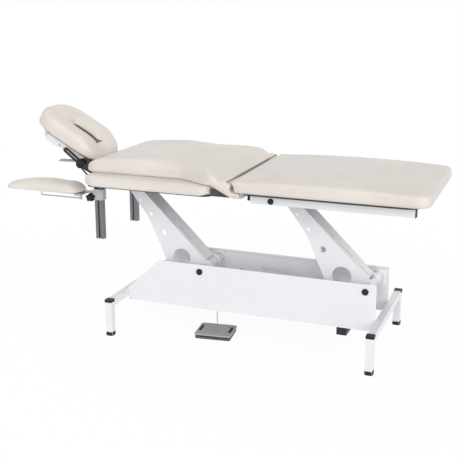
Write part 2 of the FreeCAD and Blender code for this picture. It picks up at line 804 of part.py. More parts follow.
def wing_outline(inset):
    # Drawn on the rear side; the outer hip corner is an arc about the pin.
    reach = wing_pivot[0] + wing_hip_radius - inset
    head = wing_head + inset
    inner = wing_inner + inset
    outer = top_half - inset
    return ((head, inner, wing_head_radius - inset), (reach, inner, wing_inner_radius - inset),
            (reach, outer, wing_hip_radius - inset - 0.1), (head, outer, wing_head_radius - inset))


def wing_board():
    board = prism(wing_outline(wing_board_inset), "xy", wing_board_z[0], wing_board_z[1])
    return board.cut(disc_z(wing_pivot[0], wing_pivot[1], wing_pin + running_gap, 0.0, wing_pad_top))


def wing_pad():
    pad = prism(wing_outline(0.0), "xy", wing_board_z[1], wing_pad_top)
    return pad.makeFillet(8.0, top_edges(pad, wing_pad_top))


for name, side in SIDES:
    save("wing_board_" + name, sided(wing_board(), side))
    save("wing_pad_" + name, sided(wing_pad(), side))


# Armrests

post_mid_y = (post_y[0] + post_y[1]) / 2.0
post_mid_x = (post_x[0] + post_x[1]) / 2.0


def post():
    # Extruded bar with a groove down either wide face.
    bar = block(post_x, post_y, (post_bottom, crossbar_bottom))
    half = post_slot / 2.0
    for y in ((post_y[0], post_y[0] + post_slot_depth), (post_y[1] - post_slot_depth, post_y[1])):
        bar = bar.cut(block((post_mid_x - half, post_mid_x + half), y, (post_bottom, crossbar_bottom)))
    return bar


def carriage():
    # Sleeve on the post with a clamp lug and the bracket plate of the swivel.
    outer_x = (post_x[0] - sleeve_wall, post_x[1] + sleeve_wall)
    outer_y = (post_y[0] - sleeve_wall, post_y[1] + sleeve_wall)
    shape = block(outer_x, outer_y, sleeve_z)
    lug = block((outer_x[0] - lug_length, outer_x[0]), (post_y[0], outer_y[1]), lug_z)
    bore_x = (post_x[0] - slide_gap, post_x[1] + slide_gap)
    bore_y = (post_y[0] - slide_gap, post_y[1] + slide_gap)
    x = swivel[0]
    y = swivel[1]
    plate = prism(((outer_x[0], post_y[0]), (outer_x[0], outer_y[1] - 2.0),
                   (x + 7.0, outer_y[1] - 2.0, 8.0), (x + 7.0, y + 25.0, 6.0),
                   (x - 25.0, y + 25.0, 12.0), (x - 25.0, post_y[0], 12.0)), "xy",
                  carriage_plate_z[0], carriage_plate_z[1])
    plate = plate.cut(disc_z(x, y, swivel_pin + running_gap, 0.0, 1000.0))
    rib = prism(((outer_x[0], carriage_plate_z[0]), (x - 10.0, carriage_plate_z[0]),
                 (outer_x[0], lug_z[0] + 2.0)), "xz", post_y[0], post_y[0] + 5.0)
    shape = shape.fuse(lug).fuse(plate).fuse(rib)
    shape = shape.cut(block(bore_x, bore_y, (0.0, 1000.0)))
    stem_x = outer_x[0] - lug_length / 2.0
    return shape.cut(disc_y(stem_x, knob_z, 4.0 + running_gap, 0.0, 1000.0))


def star_knob():
    # Five lobes about a round core, on the stem that pinches the lug.
    x = post_x[0] - sleeve_wall - lug_length / 2.0
    face = post_y[1] + sleeve_wall + side_gap
    knob = disc_y(x, knob_z, 14.0, face, face + knob_length)
    for i in range(5):
        turn = math.radians(90.0 + 72.0 * i)
        lobe = disc_y(x + 13.5 * math.cos(turn), knob_z + 13.5 * math.sin(turn), knob_radius - 13.5,
                      face, face + knob_length - 4.0)
        knob = knob.fuse(lobe)
    return knob.fuse(disc_y(x, knob_z, 4.0, post_y[0] + 2.0, face))


def armrest_arm():
    # Plate under the pad on a vertical pin, and a thin stay bar below it.
    x = swivel[0]
    y = swivel[1]
    low = carriage_plate_z[1] + 0.3
    half = arm_plate_half
    plate = prism(((arm_plate_x[0], y - half, 8.0), (arm_plate_x[1], y - half, 8.0),
                   (arm_plate_x[1], y + half, 8.0), (arm_plate_x[0], y + half, 8.0)), "xy",
                  low, pad_z[0])
    pin = disc_z(x, y, swivel_pin, support_z - support_bar - 2.0, low)
    bar = rod_x((support_end, x), support_z, support_bar, y)
    post_end = disc_z(support_end, y, support_bar, support_z - support_bar, low)
    return plate.fuse(pin).fuse(bar).fuse(post_end)


def armrest_pad():
    # Boat-shaped: rounded in plan, with a flat bottom and an arched top that falls at both ends.
    plan = prism(((pad_x[0], pad_y[0], 30.0), (pad_x[1], pad_y[0], 62.0), (pad_x[1], pad_y[1], 62.0),
                  (pad_x[0], pad_y[1], 30.0)), "xy", pad_z[0], pad_z[1] + 1.0)
    curve = Part.BSplineCurve()
    first = Vector(pad_x[0], 0, pad_back[0][1])
    last = Vector(pad_x[1], 0, pad_z[0] + pad_end_rise)
    curve.interpolate([first] + [Vector(x, 0, z) for x, z in pad_back[1:]] + [last])
    floor_left = Vector(pad_x[0], 0, pad_z[0])
    floor_right = Vector(pad_x[1], 0, pad_z[0])
    wire = Part.Wire([Part.makeLine(floor_left, first), curve.toShape(),
                      Part.makeLine(last, floor_right), Part.makeLine(floor_right, floor_left)])
    side = Part.Face(wire).extrude(Vector(0, top_half, 0))
    return plan.common(side)


def about_swivel(shape, side):
    # The rear armrest is stored turned half round, under the wing.
    if side < 0:
        return mirrored(shape)
    result = shape.copy()
    result.rotate(Vector(swivel[0], swivel[1], 0), Z_AXIS, 180.0)
    return result


for name, side in SIDES:
    save("post_" + name, sided(post(), side))
    save("carriage_" + name, sided(carriage(), side))
    save("star_knob_" + name, sided(star_knob(), side))
    save("armrest_arm_" + name, about_swivel(armrest_arm(), side))
    save("armrest_pad_" + name, about_swivel(armrest_pad(), side))


# Head section, drawn lying flat and then turned up about its hinge. Lengths from the hinge run
# towards the head end, heights are measured square to the board.

def head_prism(corners, plane, low, high):
    # Corners give length and height (plane xz) or length and width (plane xy) from the hinge.
    if plane == "xz":
        moved = [(head_x - c[0], head_z + c[1]) + tuple(c[2:]) for c in corners]
        return prism(moved, plane, low, high)
    moved = [(head_x - c[0], c[1]) + tuple(c[2:]) for c in corners]
    return prism(moved, plane, head_z + low, head_z + high)


def placed_head(shape):
    return turned(shape, head_x, head_z, head_tilt)


def head_disc(u, n, radius, low, high):
    return disc_y(head_x - u, head_z + n, radius, low, high)


def face_slot(low, high):
    half = face_slot_half
    rounding = half - 0.1
    return head_prism(((face_slot_u[0], -half, rounding), (face_slot_u[0], half, rounding),
                       (face_slot_u[1], half, rounding), (face_slot_u[1], -half, rounding)), "xy", low, high)


def head_board():
    half = head_board_half
    board = head_prism(((head_board_u[0], -half, 15.0), (head_board_u[1], -half, head_tip - 12.0),
                        (head_board_u[1], half, head_tip - 12.0), (head_board_u[0], half, 15.0)),
                       "xy", head_board_n[0], head_board_n[1])
    return placed_head(board.cut(face_slot(0.0, head_reach)))


def head_cushion():
    # The end by the back is cut upright and then follows a circle about the hinge.
    half = head_half
    start = -head_end_radius
    body = head_prism(((start, -half, head_heel), (head_reach, -half, head_tip),
                       (head_reach, half, head_tip), (start, half, head_heel)), "xy",
                      head_cushion_n[0], head_cushion_n[1])
    level = head_z + head_cushion_n[1]
    body = body.makeFillet(head_edge, top_edges(body, level))
    body = body.cut(face_slot(0.0, head_reach))
    rim = [e for e in top_edges(body, level) if abs(e.BoundBox.Center.y) < face_slot_half + 0.1
           and e.BoundBox.YLength < 2.0 * face_slot_half + 0.1 and e.BoundBox.YMax < face_slot_half + 0.1
           and e.BoundBox.YMin > -face_slot_half - 0.1]
    body = body.makeFillet(face_slot_lip, rim)
    body = turned(body, head_x, head_z, head_upright)
    reach = head_end_radius
    keep = disc_y(head_x, head_z, reach, -half, half)
    keep = keep.fuse(block((head_x - 2.0 * head_reach, head_x + reach), (-half, half),
                           (head_z, head_z + 2.0 * head_reach)))
    keep = keep.fuse(block((head_x - 2.0 * head_reach, head_x), (-half, half),
                           (head_z - head_reach, head_z + 2.0 * head_reach)))
    return placed_head(turned(body.common(keep), head_x, head_z, -head_upright))


def head_frame():
    # Two side plates on the hinge, tied by a cross tube.
    plates = []
    for side in (-1, 1):
        low, high = side_plate_y
        corners = ((0.0, head_board_n[0]),) + side_plate + ((0.0, -head_hub + 2.0),)
        plate = head_prism(corners, "xz", low, high)
        plate = plate.fuse(head_disc(0.0, 0.0, head_hub, low, high))
        plate = plate.cut(head_disc(0.0, 0.0, head_pin + running_gap, low - 1.0, high + 1.0))
        clear = head_disc(0.0, 0.0, head_hub, low, high).cut(
            head_prism(((-60.0, head_board_n[0]), (60.0, head_board_n[0]), (60.0, 60.0), (-60.0, 60.0)),
                       "xz", low, high))
        plate = plate.common(clear.fuse(head_prism(((0.0, -60.0), (head_reach, -60.0),
                                                    (head_reach, head_board_n[0]),
                                                    (0.0, head_board_n[0])), "xz", low, high)))
        plates.append(sided(plate, side))
    tie = head_disc(head_tie[0], head_tie[1], head_tie[2], -side_plate_y[0], side_plate_y[0])
    return placed_head(plates[0].fuse(plates[1]).fuse(tie))


def head_bar():
    # Black hub with a slotted stay that runs up to the edge of the board.
    end_u, end_n = head_bar_end
    angle = math.degrees(math.atan2(end_n, end_u))
    length = math.hypot(end_u, end_n)
    half = 12.0
    inner = head_bar_slot / 2.0
    low, high = head_bar_y
    bar = head_prism(((0.0, -half), (length + half, -half, half - 0.1), (length + half, half, half - 0.1),
                      (0.0, half)), "xz", low, high)
    slot = head_prism(((head_hub + 4.0, -inner, inner - 0.1), (length - 4.0, -inner, inner - 0.1),
                       (length - 4.0, inner, inner - 0.1), (head_hub + 4.0, inner, inner - 0.1)),
                      "xz", low, high)
    bar = turned(bar.cut(slot), head_x, head_z, angle)
    bar = bar.fuse(head_disc(0.0, 0.0, head_hub - 8.0, side_plate_y[1], head_bar_y[1] + 1.0))
    bar = bar.fuse(head_disc(0.0, 0.0, head_hub, side_plate_y[1] + 3.0, side_plate_y[1] + 14.0).cut(
        head_prism(((-60.0, head_board_n[0] - 0.2), (60.0, head_board_n[0] - 0.2), (60.0, 60.0),
                    (-60.0, 60.0)), "xz", 0.0, 200.0)))
    bar = bar.cut(head_disc(0.0, 0.0, head_pin + running_gap, 0.0, top_half))
    return placed_head(bar)


def head_hinge():
    # Plate on the end of the back tube with the hinge pin, a lower stay and a stop block.
    low, high = hinge_plate_y
    tube_z = (back_board_z[0] - back_tube_height, back_board_z[0])
    x = back_tube_end
    plate = prism(((x, tube_z[0]), (x, tube_z[1]), (x - 15.0, tube_z[1] + 14.0, 20.0),
                   (head_x + 6.0, head_z + 13.0), (head_x - 6.0, head_z - 13.0)), "xz", low, high)
    plate = plate.fuse(disc_y(head_x, head_z, 15.0, low, high))
    lower = prism(((head_x - 6.0, head_z - 8.0), (head_x + 2.0, head_z - 14.0), (head_x + 54.0, head_z - 60.0),
                   (head_x + 48.0, head_z - 66.0)), "xz", low, high)
    link = prism(((head_x + 45.0, head_z - 62.0), (head_x + 54.0, head_z - 60.0), (x, tube_z[0] + 6.0),
                  (x, tube_z[0])), "xz", low, high)
    pin = disc_y(head_x, head_z, head_pin, lever_y[0] - 3.0, high)
    stop = block((head_x + 42.0, head_x + 60.0), (low, high + 8.0), (head_z - 8.0, head_z + 30.0))
    return plate.fuse(lower).fuse(link).fuse(pin).fuse(stop)


def head_lever():
    # Bent rod loop on a sleeve beside the front side plate.
    low, high = lever_y
    rod = lever_rod
    sleeve = disc_y(head_x, head_z, head_pin + 4.0, low, high)
    near = low + rod + 1.0
    far = high - rod - 1.0
    middle = (near + far) / 2.0
    bend = (far - near) / 2.0
    end_x = head_x - lever_length + bend + rod
    points = (Vector(head_x - 10.0, near, head_z), Vector(end_x, near, head_z),
              Vector(end_x - bend, middle, head_z), Vector(end_x, far, head_z),
              Vector(head_x - 10.0, far, head_z))
    path = Part.Wire([Part.makeLine(points[0], points[1]), Part.Arc(*points[1:4]).toShape(),
                      Part.makeLine(points[3], points[4])])
    section = Part.Wire(Part.makeCircle(rod, points[0], Vector(1, 0, 0)))
    loop = path.makePipeShell([section], True, False)
    lever = sleeve.fuse(loop)
    lever = lever.cut(disc_y(head_x, head_z, head_pin + running_gap, 0.0, 200.0))
    return mirrored(turned(lever, head_x, head_z, lever_angle))


save("head_board", head_board())
save("head_cushion", head_cushion())
save("head_frame", head_frame())
for name, side in SIDES:
    save("head_bar_" + name, sided(head_bar(), side))
    save("head_hinge_" + name, sided(head_hinge(), side))
save("head_lever", head_lever())


# Pedal, drawn about the origin and then turned and moved to its place

def placed_pedal(shape):
    result = shape.copy()
    result.rotate(Vector(0, 0, 0), Z_AXIS, pedal_turn)
    result.translate(Vector(pedal_x, pedal_y, 0))
    return result


def pedal_rect(inset, radius):
    half_l = pedal_length / 2.0 - inset
    half_w = pedal_width / 2.0 - inset
    return ((-half_l, -half_w, radius), (half_l, -half_w, radius), (half_l, half_w, radius),
            (-half_l, half_w, radius))


def pedal_housing():
    # Low tray with two lugs that hold the rocker's pin, and the cord's gland at its rear.
    shape = prism(pedal_rect(3.0, 10.0), "xy", 0.0, pedal_base)
    low, high = pedal_lug_y
    for side in (-1, 1):
        lug = block((-7.0, 7.0), (low, high), (pedal_base, pedal_plate_bottom - 1.0))
        shape = shape.fuse(sided(lug, side))
    shape = shape.fuse(disc_y(0.0, pedal_pin_z, pedal_pin, -high - 8.0, high + 8.0))
    gland = disc_y(-16.0, pedal_base - 4.5, 4.5, pedal_width / 2.0 - 3.5, pedal_width / 2.0 + 4.0)
    return shape.fuse(gland)


def pedal_plate():
    # Rocker plate with a raised skirt and two ears on the pin.
    shape = prism(pedal_rect(0.0, 12.0), "xy", pedal_plate_bottom, pedal_top)
    shape = shape.makeFillet(3.0, top_edges(shape, pedal_top))
    low, high = pedal_lug_y
    for side in (-1, 1):
        ear = block((-6.0, 6.0), (high + 0.5, high + 7.0), (pedal_base + 0.5, pedal_plate_bottom))
        shape = shape.fuse(sided(ear, side))
    return shape.cut(disc_y(0.0, pedal_pin_z, pedal_pin + running_gap, -200.0, 200.0))


save("pedal_housing", placed_pedal(pedal_housing()))
save("pedal_plate", placed_pedal(pedal_plate()))


# Cord

def cord(route):
    # Straight runs joined by tangent arcs, each as large as its two runs allow.
    points = [Vector(*p) for p in route]
    edges = []
    here = points[0]
    radii = []
    length = 0.0
    for i in range(1, len(points) - 1):
        back = points[i - 1] - points[i]
        ahead = points[i + 1] - points[i]
        reach = cord_bend * min(back.Length, ahead.Length)
        turn = math.pi - back.getAngle(ahead)
        radii.append(reach / math.tan(turn / 2.0))
        start = points[i] + back.normalize() * reach
        end = points[i] + ahead.normalize() * reach
        inward = (back + ahead).normalize()
        half = (math.pi - turn) / 2.0
        middle = points[i] + inward * (radii[-1] / math.sin(half) - radii[-1])
        edges.append(Part.makeLine(here, start))
        edges.append(Part.Arc(start, middle, end).toShape())
        here = end
    edges.append(Part.makeLine(here, points[-1]))
    path = Part.Wire(edges)
    length = sum(e.Length for e in edges)
    section = Part.Wire(Part.makeCircle(cord_radius, points[0], points[1] - points[0]))
    tube = path.makePipeShell([section], True, False)
    expected = math.pi * cord_radius ** 2 * length
    print("cord radii", [round(r) for r in radii], "length", round(length),
          "volume ratio", round(tube.Volume / expected, 4))
    return tube


def cord_coil():
    outer = coil_radius + cord_radius
    inner = coil_radius - cord_radius
    x, y = coil_centre
    return disc_z(x, y, outer, 0.5, coil_height).cut(disc_z(x, y, inner, 0.0, coil_height + 1.0))


save("pedal_cord", cord(pedal_route))
save("control_cord", cord(box_route))
save("cord_coil", cord_coil())
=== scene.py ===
import bpy
import bmesh
import json
import math
import numpy as np
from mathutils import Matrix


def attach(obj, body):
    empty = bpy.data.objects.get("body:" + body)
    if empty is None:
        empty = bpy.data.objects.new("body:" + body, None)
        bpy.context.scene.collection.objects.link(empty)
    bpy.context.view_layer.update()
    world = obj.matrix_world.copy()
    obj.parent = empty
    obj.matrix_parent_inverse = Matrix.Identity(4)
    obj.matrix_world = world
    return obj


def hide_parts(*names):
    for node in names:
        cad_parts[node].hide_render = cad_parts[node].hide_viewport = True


# Electric massage table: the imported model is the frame, and this file dresses it.
# Metres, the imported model's own frame: X towards the foot end, -Y the front, Z up.

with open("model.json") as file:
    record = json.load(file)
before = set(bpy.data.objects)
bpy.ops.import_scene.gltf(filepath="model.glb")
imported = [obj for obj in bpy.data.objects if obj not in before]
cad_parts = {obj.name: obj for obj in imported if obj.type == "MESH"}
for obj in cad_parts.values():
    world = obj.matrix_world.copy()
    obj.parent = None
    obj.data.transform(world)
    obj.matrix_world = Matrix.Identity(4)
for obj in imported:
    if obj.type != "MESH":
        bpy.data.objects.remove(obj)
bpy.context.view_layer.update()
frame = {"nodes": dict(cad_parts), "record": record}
originShift = 0.164  # the base's middle lies this far along X from the origin
print("frame loaded")


# Camera, lights and stage

cameraSetup = {
    "place": (1.288 + originShift, -3.706, 1.581),
    "azimuth": 20.96,
    "elevation": 15.56,
    "lens": 69.136,  # on a 36 mm wide sensor
}


def makeCamera(setup):
    data = bpy.data.cameras.new("camera")
    data.lens = setup["lens"]
    data.sensor_width = 36.0
    camera = bpy.data.objects.new("camera", data)
    bpy.context.scene.collection.objects.link(camera)
    camera.location = setup["place"]
    camera.rotation_euler = (math.radians(90.0 - setup["elevation"]), 0.0,
                             math.radians(setup["azimuth"]))
    bpy.context.scene.camera = camera


makeCamera(cameraSetup)

# Suns with a wide angle light the whole length evenly. Each "from" points towards its lamp.
lampSetup = {
    "key": {"from": (0.10, -0.93, 0.32), "angle": 50.0, "strength": 1.36},
    "end": {"from": (0.88, -0.32, 0.30), "angle": 50.0, "strength": 1.20},
    "back": {"from": (-0.55, 0.70, 0.45), "angle": 70.0, "strength": 0.40},
}


def makeLamp(name, setup):
    data = bpy.data.lights.new(name, "SUN")
    data.energy = setup["strength"]
    data.angle = math.radians(setup["angle"])
    lamp = bpy.data.objects.new(name, data)
    bpy.context.scene.collection.objects.link(lamp)
    x, y, z = setup["from"]
    lamp.rotation_euler = (math.atan2(math.hypot(x, y), z), 0.0, math.atan2(x, -y))


for lampName, setup in lampSetup.items():
    makeLamp(lampName, setup)


def anyCameraRay(nodes, links):
    # 1 where a ray is seen by the camera, in a reflection or through glass, else 0.
    path = nodes.new("ShaderNodeLightPath")
    first = nodes.new("ShaderNodeMath")
    first.operation = "MAXIMUM"
    links.new(path.outputs["Is Camera Ray"], first.inputs[0])
    links.new(path.outputs["Is Glossy Ray"], first.inputs[1])
    second = nodes.new("ShaderNodeMath")
    second.operation = "MAXIMUM"
    links.new(first.outputs[0], second.inputs[0])
    links.new(path.outputs["Is Transmission Ray"], second.inputs[1])
    return second.outputs[0]


# The lit colour falls on the table; the seen one is the background.
worldSetup = {"lit": (0.97, 0.98, 1.0), "strength": 0.58, "seen": (0.985, 0.985, 0.985)}


def makeWorld(setup):
    world = bpy.data.worlds.new("studio")
    bpy.context.scene.world = world
    world.use_nodes = True
    nodes = world.node_tree.nodes
    links = world.node_tree.links
    nodes.clear()
    lit = nodes.new("ShaderNodeBackground")
    lit.inputs["Color"].default_value = (*setup["lit"], 1.0)
    lit.inputs["Strength"].default_value = setup["strength"]
    seen = nodes.new("ShaderNodeBackground")
    seen.inputs["Color"].default_value = (*setup["seen"], 1.0)
    seen.inputs["Strength"].default_value = 1.0
    mix = nodes.new("ShaderNodeMixShader")
    out = nodes.new("ShaderNodeOutputWorld")
    links.new(anyCameraRay(nodes, links), mix.inputs["Fac"])
    links.new(lit.outputs[0], mix.inputs[1])
    links.new(seen.outputs[0], mix.inputs[2])
    links.new(mix.outputs[0], out.inputs["Surface"])


# The glow is the share of the floor that the camera sees as plain white; the rest is lit and
# takes the shadow.
floorSetup = {"half": 60.0, "glow": 0.90, "glowStrength": 1.03, "tone": 0.84}


def makeFloor(setup):
    # Flat square at floor level.
    half = setup["half"]
    tone = setup["tone"]
    mesh = bpy.data.meshes.new("floor")
    corners = [(-half, -half, 0.0), (half, -half, 0.0), (half, half, 0.0), (-half, half, 0.0)]
    mesh.from_pydata(corners, [], [(0, 1, 2, 3)])
    floor = bpy.data.objects.new("floor", mesh)
    bpy.context.scene.collection.objects.link(floor)
    material = bpy.data.materials.new("floorWhite")
    material.use_nodes = True
    nodes = material.node_tree.nodes
    links = material.node_tree.links
    nodes.clear()
    diffuse = nodes.new("ShaderNodeBsdfDiffuse")
    diffuse.inputs["Color"].default_value = (tone, tone, tone, 1.0)
    glow = nodes.new("ShaderNodeEmission")
    glow.inputs["Color"].default_value = (1.0, 1.0, 1.0, 1.0)
    glow.inputs["Strength"].default_value = setup["glowStrength"]
    share = nodes.new("ShaderNodeMath")
    share.operation = "MULTIPLY"
    share.inputs[1].default_value = setup["glow"]
    mix = nodes.new("ShaderNodeMixShader")
    out = nodes.new("ShaderNodeOutputMaterial")
    links.new(anyCameraRay(nodes, links), share.inputs[0])
    links.new(share.outputs[0], mix.inputs["Fac"])
    links.new(diffuse.outputs[0], mix.inputs[1])
    links.new(glow.outputs[0], mix.inputs[2])
    links.new(mix.outputs[0], out.inputs["Surface"])
    mesh.materials.append(material)


makeWorld(worldSetup)
makeFloor(floorSetup)
bpy.context.scene.view_settings.view_transform = "Standard"
print("camera, lights and floor made")


# The pedal's cord: from the pedal back under the base, wound up behind the rear panel, and on
# to the box. Millimetres from the middle of the base, as in the part's source.

cordSetup = {
    "fromPedal": ((-179.2, -52, 7), (-188, -22, 4), (-204, 18, 3), (-224, 66, 3.4), (-243, 114, 3),
                  (-256, 160, 3.3), (-262, 208, 3), (-264.4, 244, 3.1)),
    "toBox": ((-206, 290, 17.5), (-178, 290, 14), (-128, 281, 4), (-74, 266, 3), (-16, 249, 3.2),
              (42, 240, 3), (100, 224, 3.2), (158, 218, 3), (216, 205, 3.2), (274, 201, 3),
              (332, 188, 3.3), (386, 167, 3), (425, 135, 14), (443, 104, 42), (445, 74, 78),
              (441, 48, 101), (440, 26, 105)),
    "centre": (-236.5, 262.0),
    "radius": 28.2,
    "turns": 3.25,
    "perTurn": 16,
    "height": (3.2, 19.5),
    "diameter": 0.005,  # this and the length are in metres
    "length": 1.73,
}


def coilPoints(setup):
    # A helix: the angle falls evenly from the left side while the height rises evenly.
    steps = int(round(setup["turns"] * setup["perTurn"])) + 1
    share = np.linspace(0.0, 1.0, steps)
    angle = math.pi - share * setup["turns"] * 2.0 * math.pi
    low, high = setup["height"]
    return np.column_stack([setup["centre"][0] + setup["radius"] * np.cos(angle),
                            setup["centre"][1] + setup["radius"] * np.sin(angle),
                            low + (high - low) * share])


def makeCord(setup):
    route = np.vstack([np.array(setup["fromPedal"]), coilPoints(setup), np.array(setup["toBox"])])
    route = route / 1000.0
    route[:, 0] += originShift
    data = bpy.data.curves.new("pedalCord", "CURVE")
    data.dimensions = "3D"
    spline = data.splines.new("NURBS")
    spline.points.add(len(route) - 1)
    spline.points.foreach_set("co", np.column_stack([route, np.ones(len(route))]).ravel())
    spline.points.foreach_set("radius", np.full(len(route), setup["diameter"] / 2.0))
    spline.order_u = 3
    spline.use_endpoint_u = True
    spline.resolution_u = 8
    data.bevel_depth = 1.0  # times each point's radius
    data.bevel_resolution = 5
    data.use_fill_caps = True
    piece = bpy.data.objects.new("pedalCord", data)
    bpy.context.scene.collection.objects.link(piece)
    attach(piece, "base")
    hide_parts("pedal_cord", "cord_coil", "control_cord")
    return piece


pedalCord = makeCord(cordSetup)
print("cord laid")


# Materials. Every pattern reads Object coordinates, so scales are per metre.

def newMaterial(name, color, roughness, metallic=0.0, specular=0.5):
    material = bpy.data.materials.new(name)
    material.use_nodes = True
    nodes = material.node_tree.nodes
    shader = nodes["Principled BSDF"]
    shader.inputs["Base Color"].default_value = (*color, 1.0)
    shader.inputs["Roughness"].default_value = roughness
    shader.inputs["Metallic"].default_value = metallic
    shader.inputs["Specular IOR Level"].default_value = specular
    return material, nodes, material.node_tree.links, shader


def objectCoordinates(nodes, links, scale=(1.0, 1.0, 1.0)):
    source = nodes.new("ShaderNodeTexCoord")
    mapping = nodes.new("ShaderNodeMapping")
    mapping.inputs["Scale"].default_value = scale
    links.new(source.outputs["Object"], mapping.inputs["Vector"])
    return mapping.outputs["Vector"]


def noise(nodes, links, vector, scale, detail=3.0, roughness=0.5):
    texture = nodes.new("ShaderNodeTexNoise")
    texture.inputs["Scale"].default_value = scale
    texture.inputs["Detail"].default_value = detail
    texture.inputs["Roughness"].default_value = roughness
    links.new(vector, texture.inputs["Vector"])
    return texture.outputs["Fac"]


def spread(nodes, links, value, low, high, fromLow=0.3, fromHigh=0.7):
    # Maps the middle of a noise to a range of values.
    mapper = nodes.new("ShaderNodeMapRange")
    mapper.inputs["From Min"].default_value = fromLow
    mapper.inputs["From Max"].default_value = fromHigh
    mapper.inputs["To Min"].default_value = low
    mapper.inputs["To Max"].default_value = high
    links.new(value, mapper.inputs["Value"])
    return mapper.outputs["Result"]


def unevenGloss(nodes, links, shader, value, low, high):
    links.new(spread(nodes, links, value, low, high), shader.inputs["Roughness"])


def twoTone(nodes, links, shader, value, first, second, fromLow=0.35, fromHigh=0.65):
    ramp = nodes.new("ShaderNodeValToRGB")
    ramp.color_ramp.elements[0].position = fromLow
    ramp.color_ramp.elements[0].color = (*first, 1.0)
    ramp.color_ramp.elements[1].position = fromHigh
    ramp.color_ramp.elements[1].color = (*second, 1.0)
    links.new(value, ramp.inputs["Fac"])
    links.new(ramp.outputs["Color"], shader.inputs["Base Color"])


def bump(nodes, links, shader, height, strength, distance):
    node = nodes.new("ShaderNodeBump")
    node.inputs["Strength"].default_value = strength
    node.inputs["Distance"].default_value = distance
    links.new(height, node.inputs["Height"])
    links.new(node.outputs["Normal"], shader.inputs["Normal"])


def scaled(color, factor):
    return tuple(min(1.0, c * factor) for c in color)


def coatedSteel(name, color, roughness=0.32):
    # Powder coat: a faint orange-peel skin, slightly uneven gloss and tone.
    material, nodes, links, shader = newMaterial(name, color, roughness)
    vector = objectCoordinates(nodes, links)
    peel = noise(nodes, links, vector, 900.0, 2.0)
    bump(nodes, links, shader, peel, 0.05, 0.0004)
    broad = noise(nodes, links, vector, 6.0, 2.0)
    twoTone(nodes, links, shader, broad, scaled(color, 0.988), scaled(color, 1.01))
    gloss = noise(nodes, links, vector, 60.0, 3.0)
    unevenGloss(nodes, links, shader, gloss, roughness - 0.06, roughness + 0.06)
    return material


def leatherette(name, color, roughness=0.46):
    # Imitation leather: small cells pressed into the surface, pores between them, a soft tone shift.
    material, nodes, links, shader = newMaterial(name, color, roughness, specular=0.42)
    vector = objectCoordinates(nodes, links)
    cells = nodes.new("ShaderNodeTexVoronoi")
    cells.feature = "DISTANCE_TO_EDGE"
    cells.inputs["Scale"].default_value = 620.0
    links.new(vector, cells.inputs["Vector"])
    rounded = spread(nodes, links, cells.outputs["Distance"], 0.0, 1.0, 0.0, 0.18)
    fine = noise(nodes, links, vector, 1500.0, 3.0)
    height = nodes.new("ShaderNodeMath")
    height.operation = "MULTIPLY_ADD"
    height.inputs[1].default_value = 0.75
    links.new(rounded, height.inputs[0])
    links.new(fine, height.inputs[2])
    bump(nodes, links, shader, height.outputs[0], 0.22, 0.0005)
    broad = noise(nodes, links, vector, 5.0, 3.0)
    twoTone(nodes, links, shader, broad, scaled(color, 0.955), scaled(color, 1.02))
    unevenGloss(nodes, links, shader, fine, roughness - 0.05, roughness + 0.08)
    return material


def mouldedPlastic(name, color, roughness=0.5):
    # Fine spark-eroded grain with a few lighter scuffs.
    material, nodes, links, shader = newMaterial(name, color, roughness, specular=0.22)
    vector = objectCoordinates(nodes, links)
    grain = noise(nodes, links, vector, 1300.0, 3.0)
    bump(nodes, links, shader, grain, 0.18, 0.0004)
    scuff = noise(nodes, links, objectCoordinates(nodes, links, (40.0, 160.0, 40.0)), 1.0, 4.0)
    lighter = tuple(c * 1.25 + 0.012 for c in color)
    twoTone(nodes, links, shader, scuff, color, lighter, 0.52, 0.78)
    unevenGloss(nodes, links, shader, grain, roughness - 0.06, roughness + 0.1)
    return material


def softRubber(name, color):
    # Dull, with pale dust in fine spots.
    material, nodes, links, shader = newMaterial(name, color, 0.78, specular=0.3)
    vector = objectCoordinates(nodes, links)
    dust = noise(nodes, links, vector, 220.0, 4.0)
    dusty = tuple(c + 0.03 for c in color)
    twoTone(nodes, links, shader, dust, color, dusty, 0.5, 0.8)
    bump(nodes, links, shader, noise(nodes, links, vector, 700.0, 2.0), 0.25, 0.0005)
    return material


def drawnMetal(name, color, roughness, stretch):
    # Lines left by drawing or turning: a noise that is long one way and short the others.
    material, nodes, links, shader = newMaterial(name, color, roughness, metallic=1.0)
    lines = noise(nodes, links, objectCoordinates(nodes, links, stretch), 1.0, 3.0)
    bump(nodes, links, shader, lines, 0.12, 0.0003)
    unevenGloss(nodes, links, shader, lines, roughness - 0.07, roughness + 0.09)
    twoTone(nodes, links, shader, lines, scaled(color, 0.86), scaled(color, 1.08))
    return material


def platedMetal(name, color):
    # Bright plating with an uneven haze.
    material, nodes, links, shader = newMaterial(name, color, 0.10, metallic=1.0)
    vector = objectCoordinates(nodes, links)
    haze = noise(nodes, links, vector, 45.0, 4.0)
    unevenGloss(nodes, links, shader, haze, 0.06, 0.16)
    bump(nodes, links, shader, noise(nodes, links, vector, 300.0, 2.0), 0.03, 0.0003)
    return material


def paintedBoard(name, color):
    # Stained plywood: long faint grain under a dull dark coat.
    material, nodes, links, shader = newMaterial(name, color, 0.6)
    grain = noise(nodes, links, objectCoordinates(nodes, links, (14.0, 260.0, 90.0)), 1.0, 4.0)
    twoTone(nodes, links, shader, grain, scaled(color, 0.8), scaled(color, 1.35))
    bump(nodes, links, shader, grain, 0.2, 0.0004)
    return material


def cordJacket(name, color):
    # Smooth sheath with a slight unevenness of skin and tone.
    material, nodes, links, shader = newMaterial(name, color, 0.5)
    vector = objectCoordinates(nodes, links)
    bump(nodes, links, shader, noise(nodes, links, vector, 900.0, 2.0), 0.15, 0.0003)
    broad = noise(nodes, links, vector, 30.0, 2.0)
    twoTone(nodes, links, shader, broad, scaled(color, 0.92), scaled(color, 1.04))
    return material


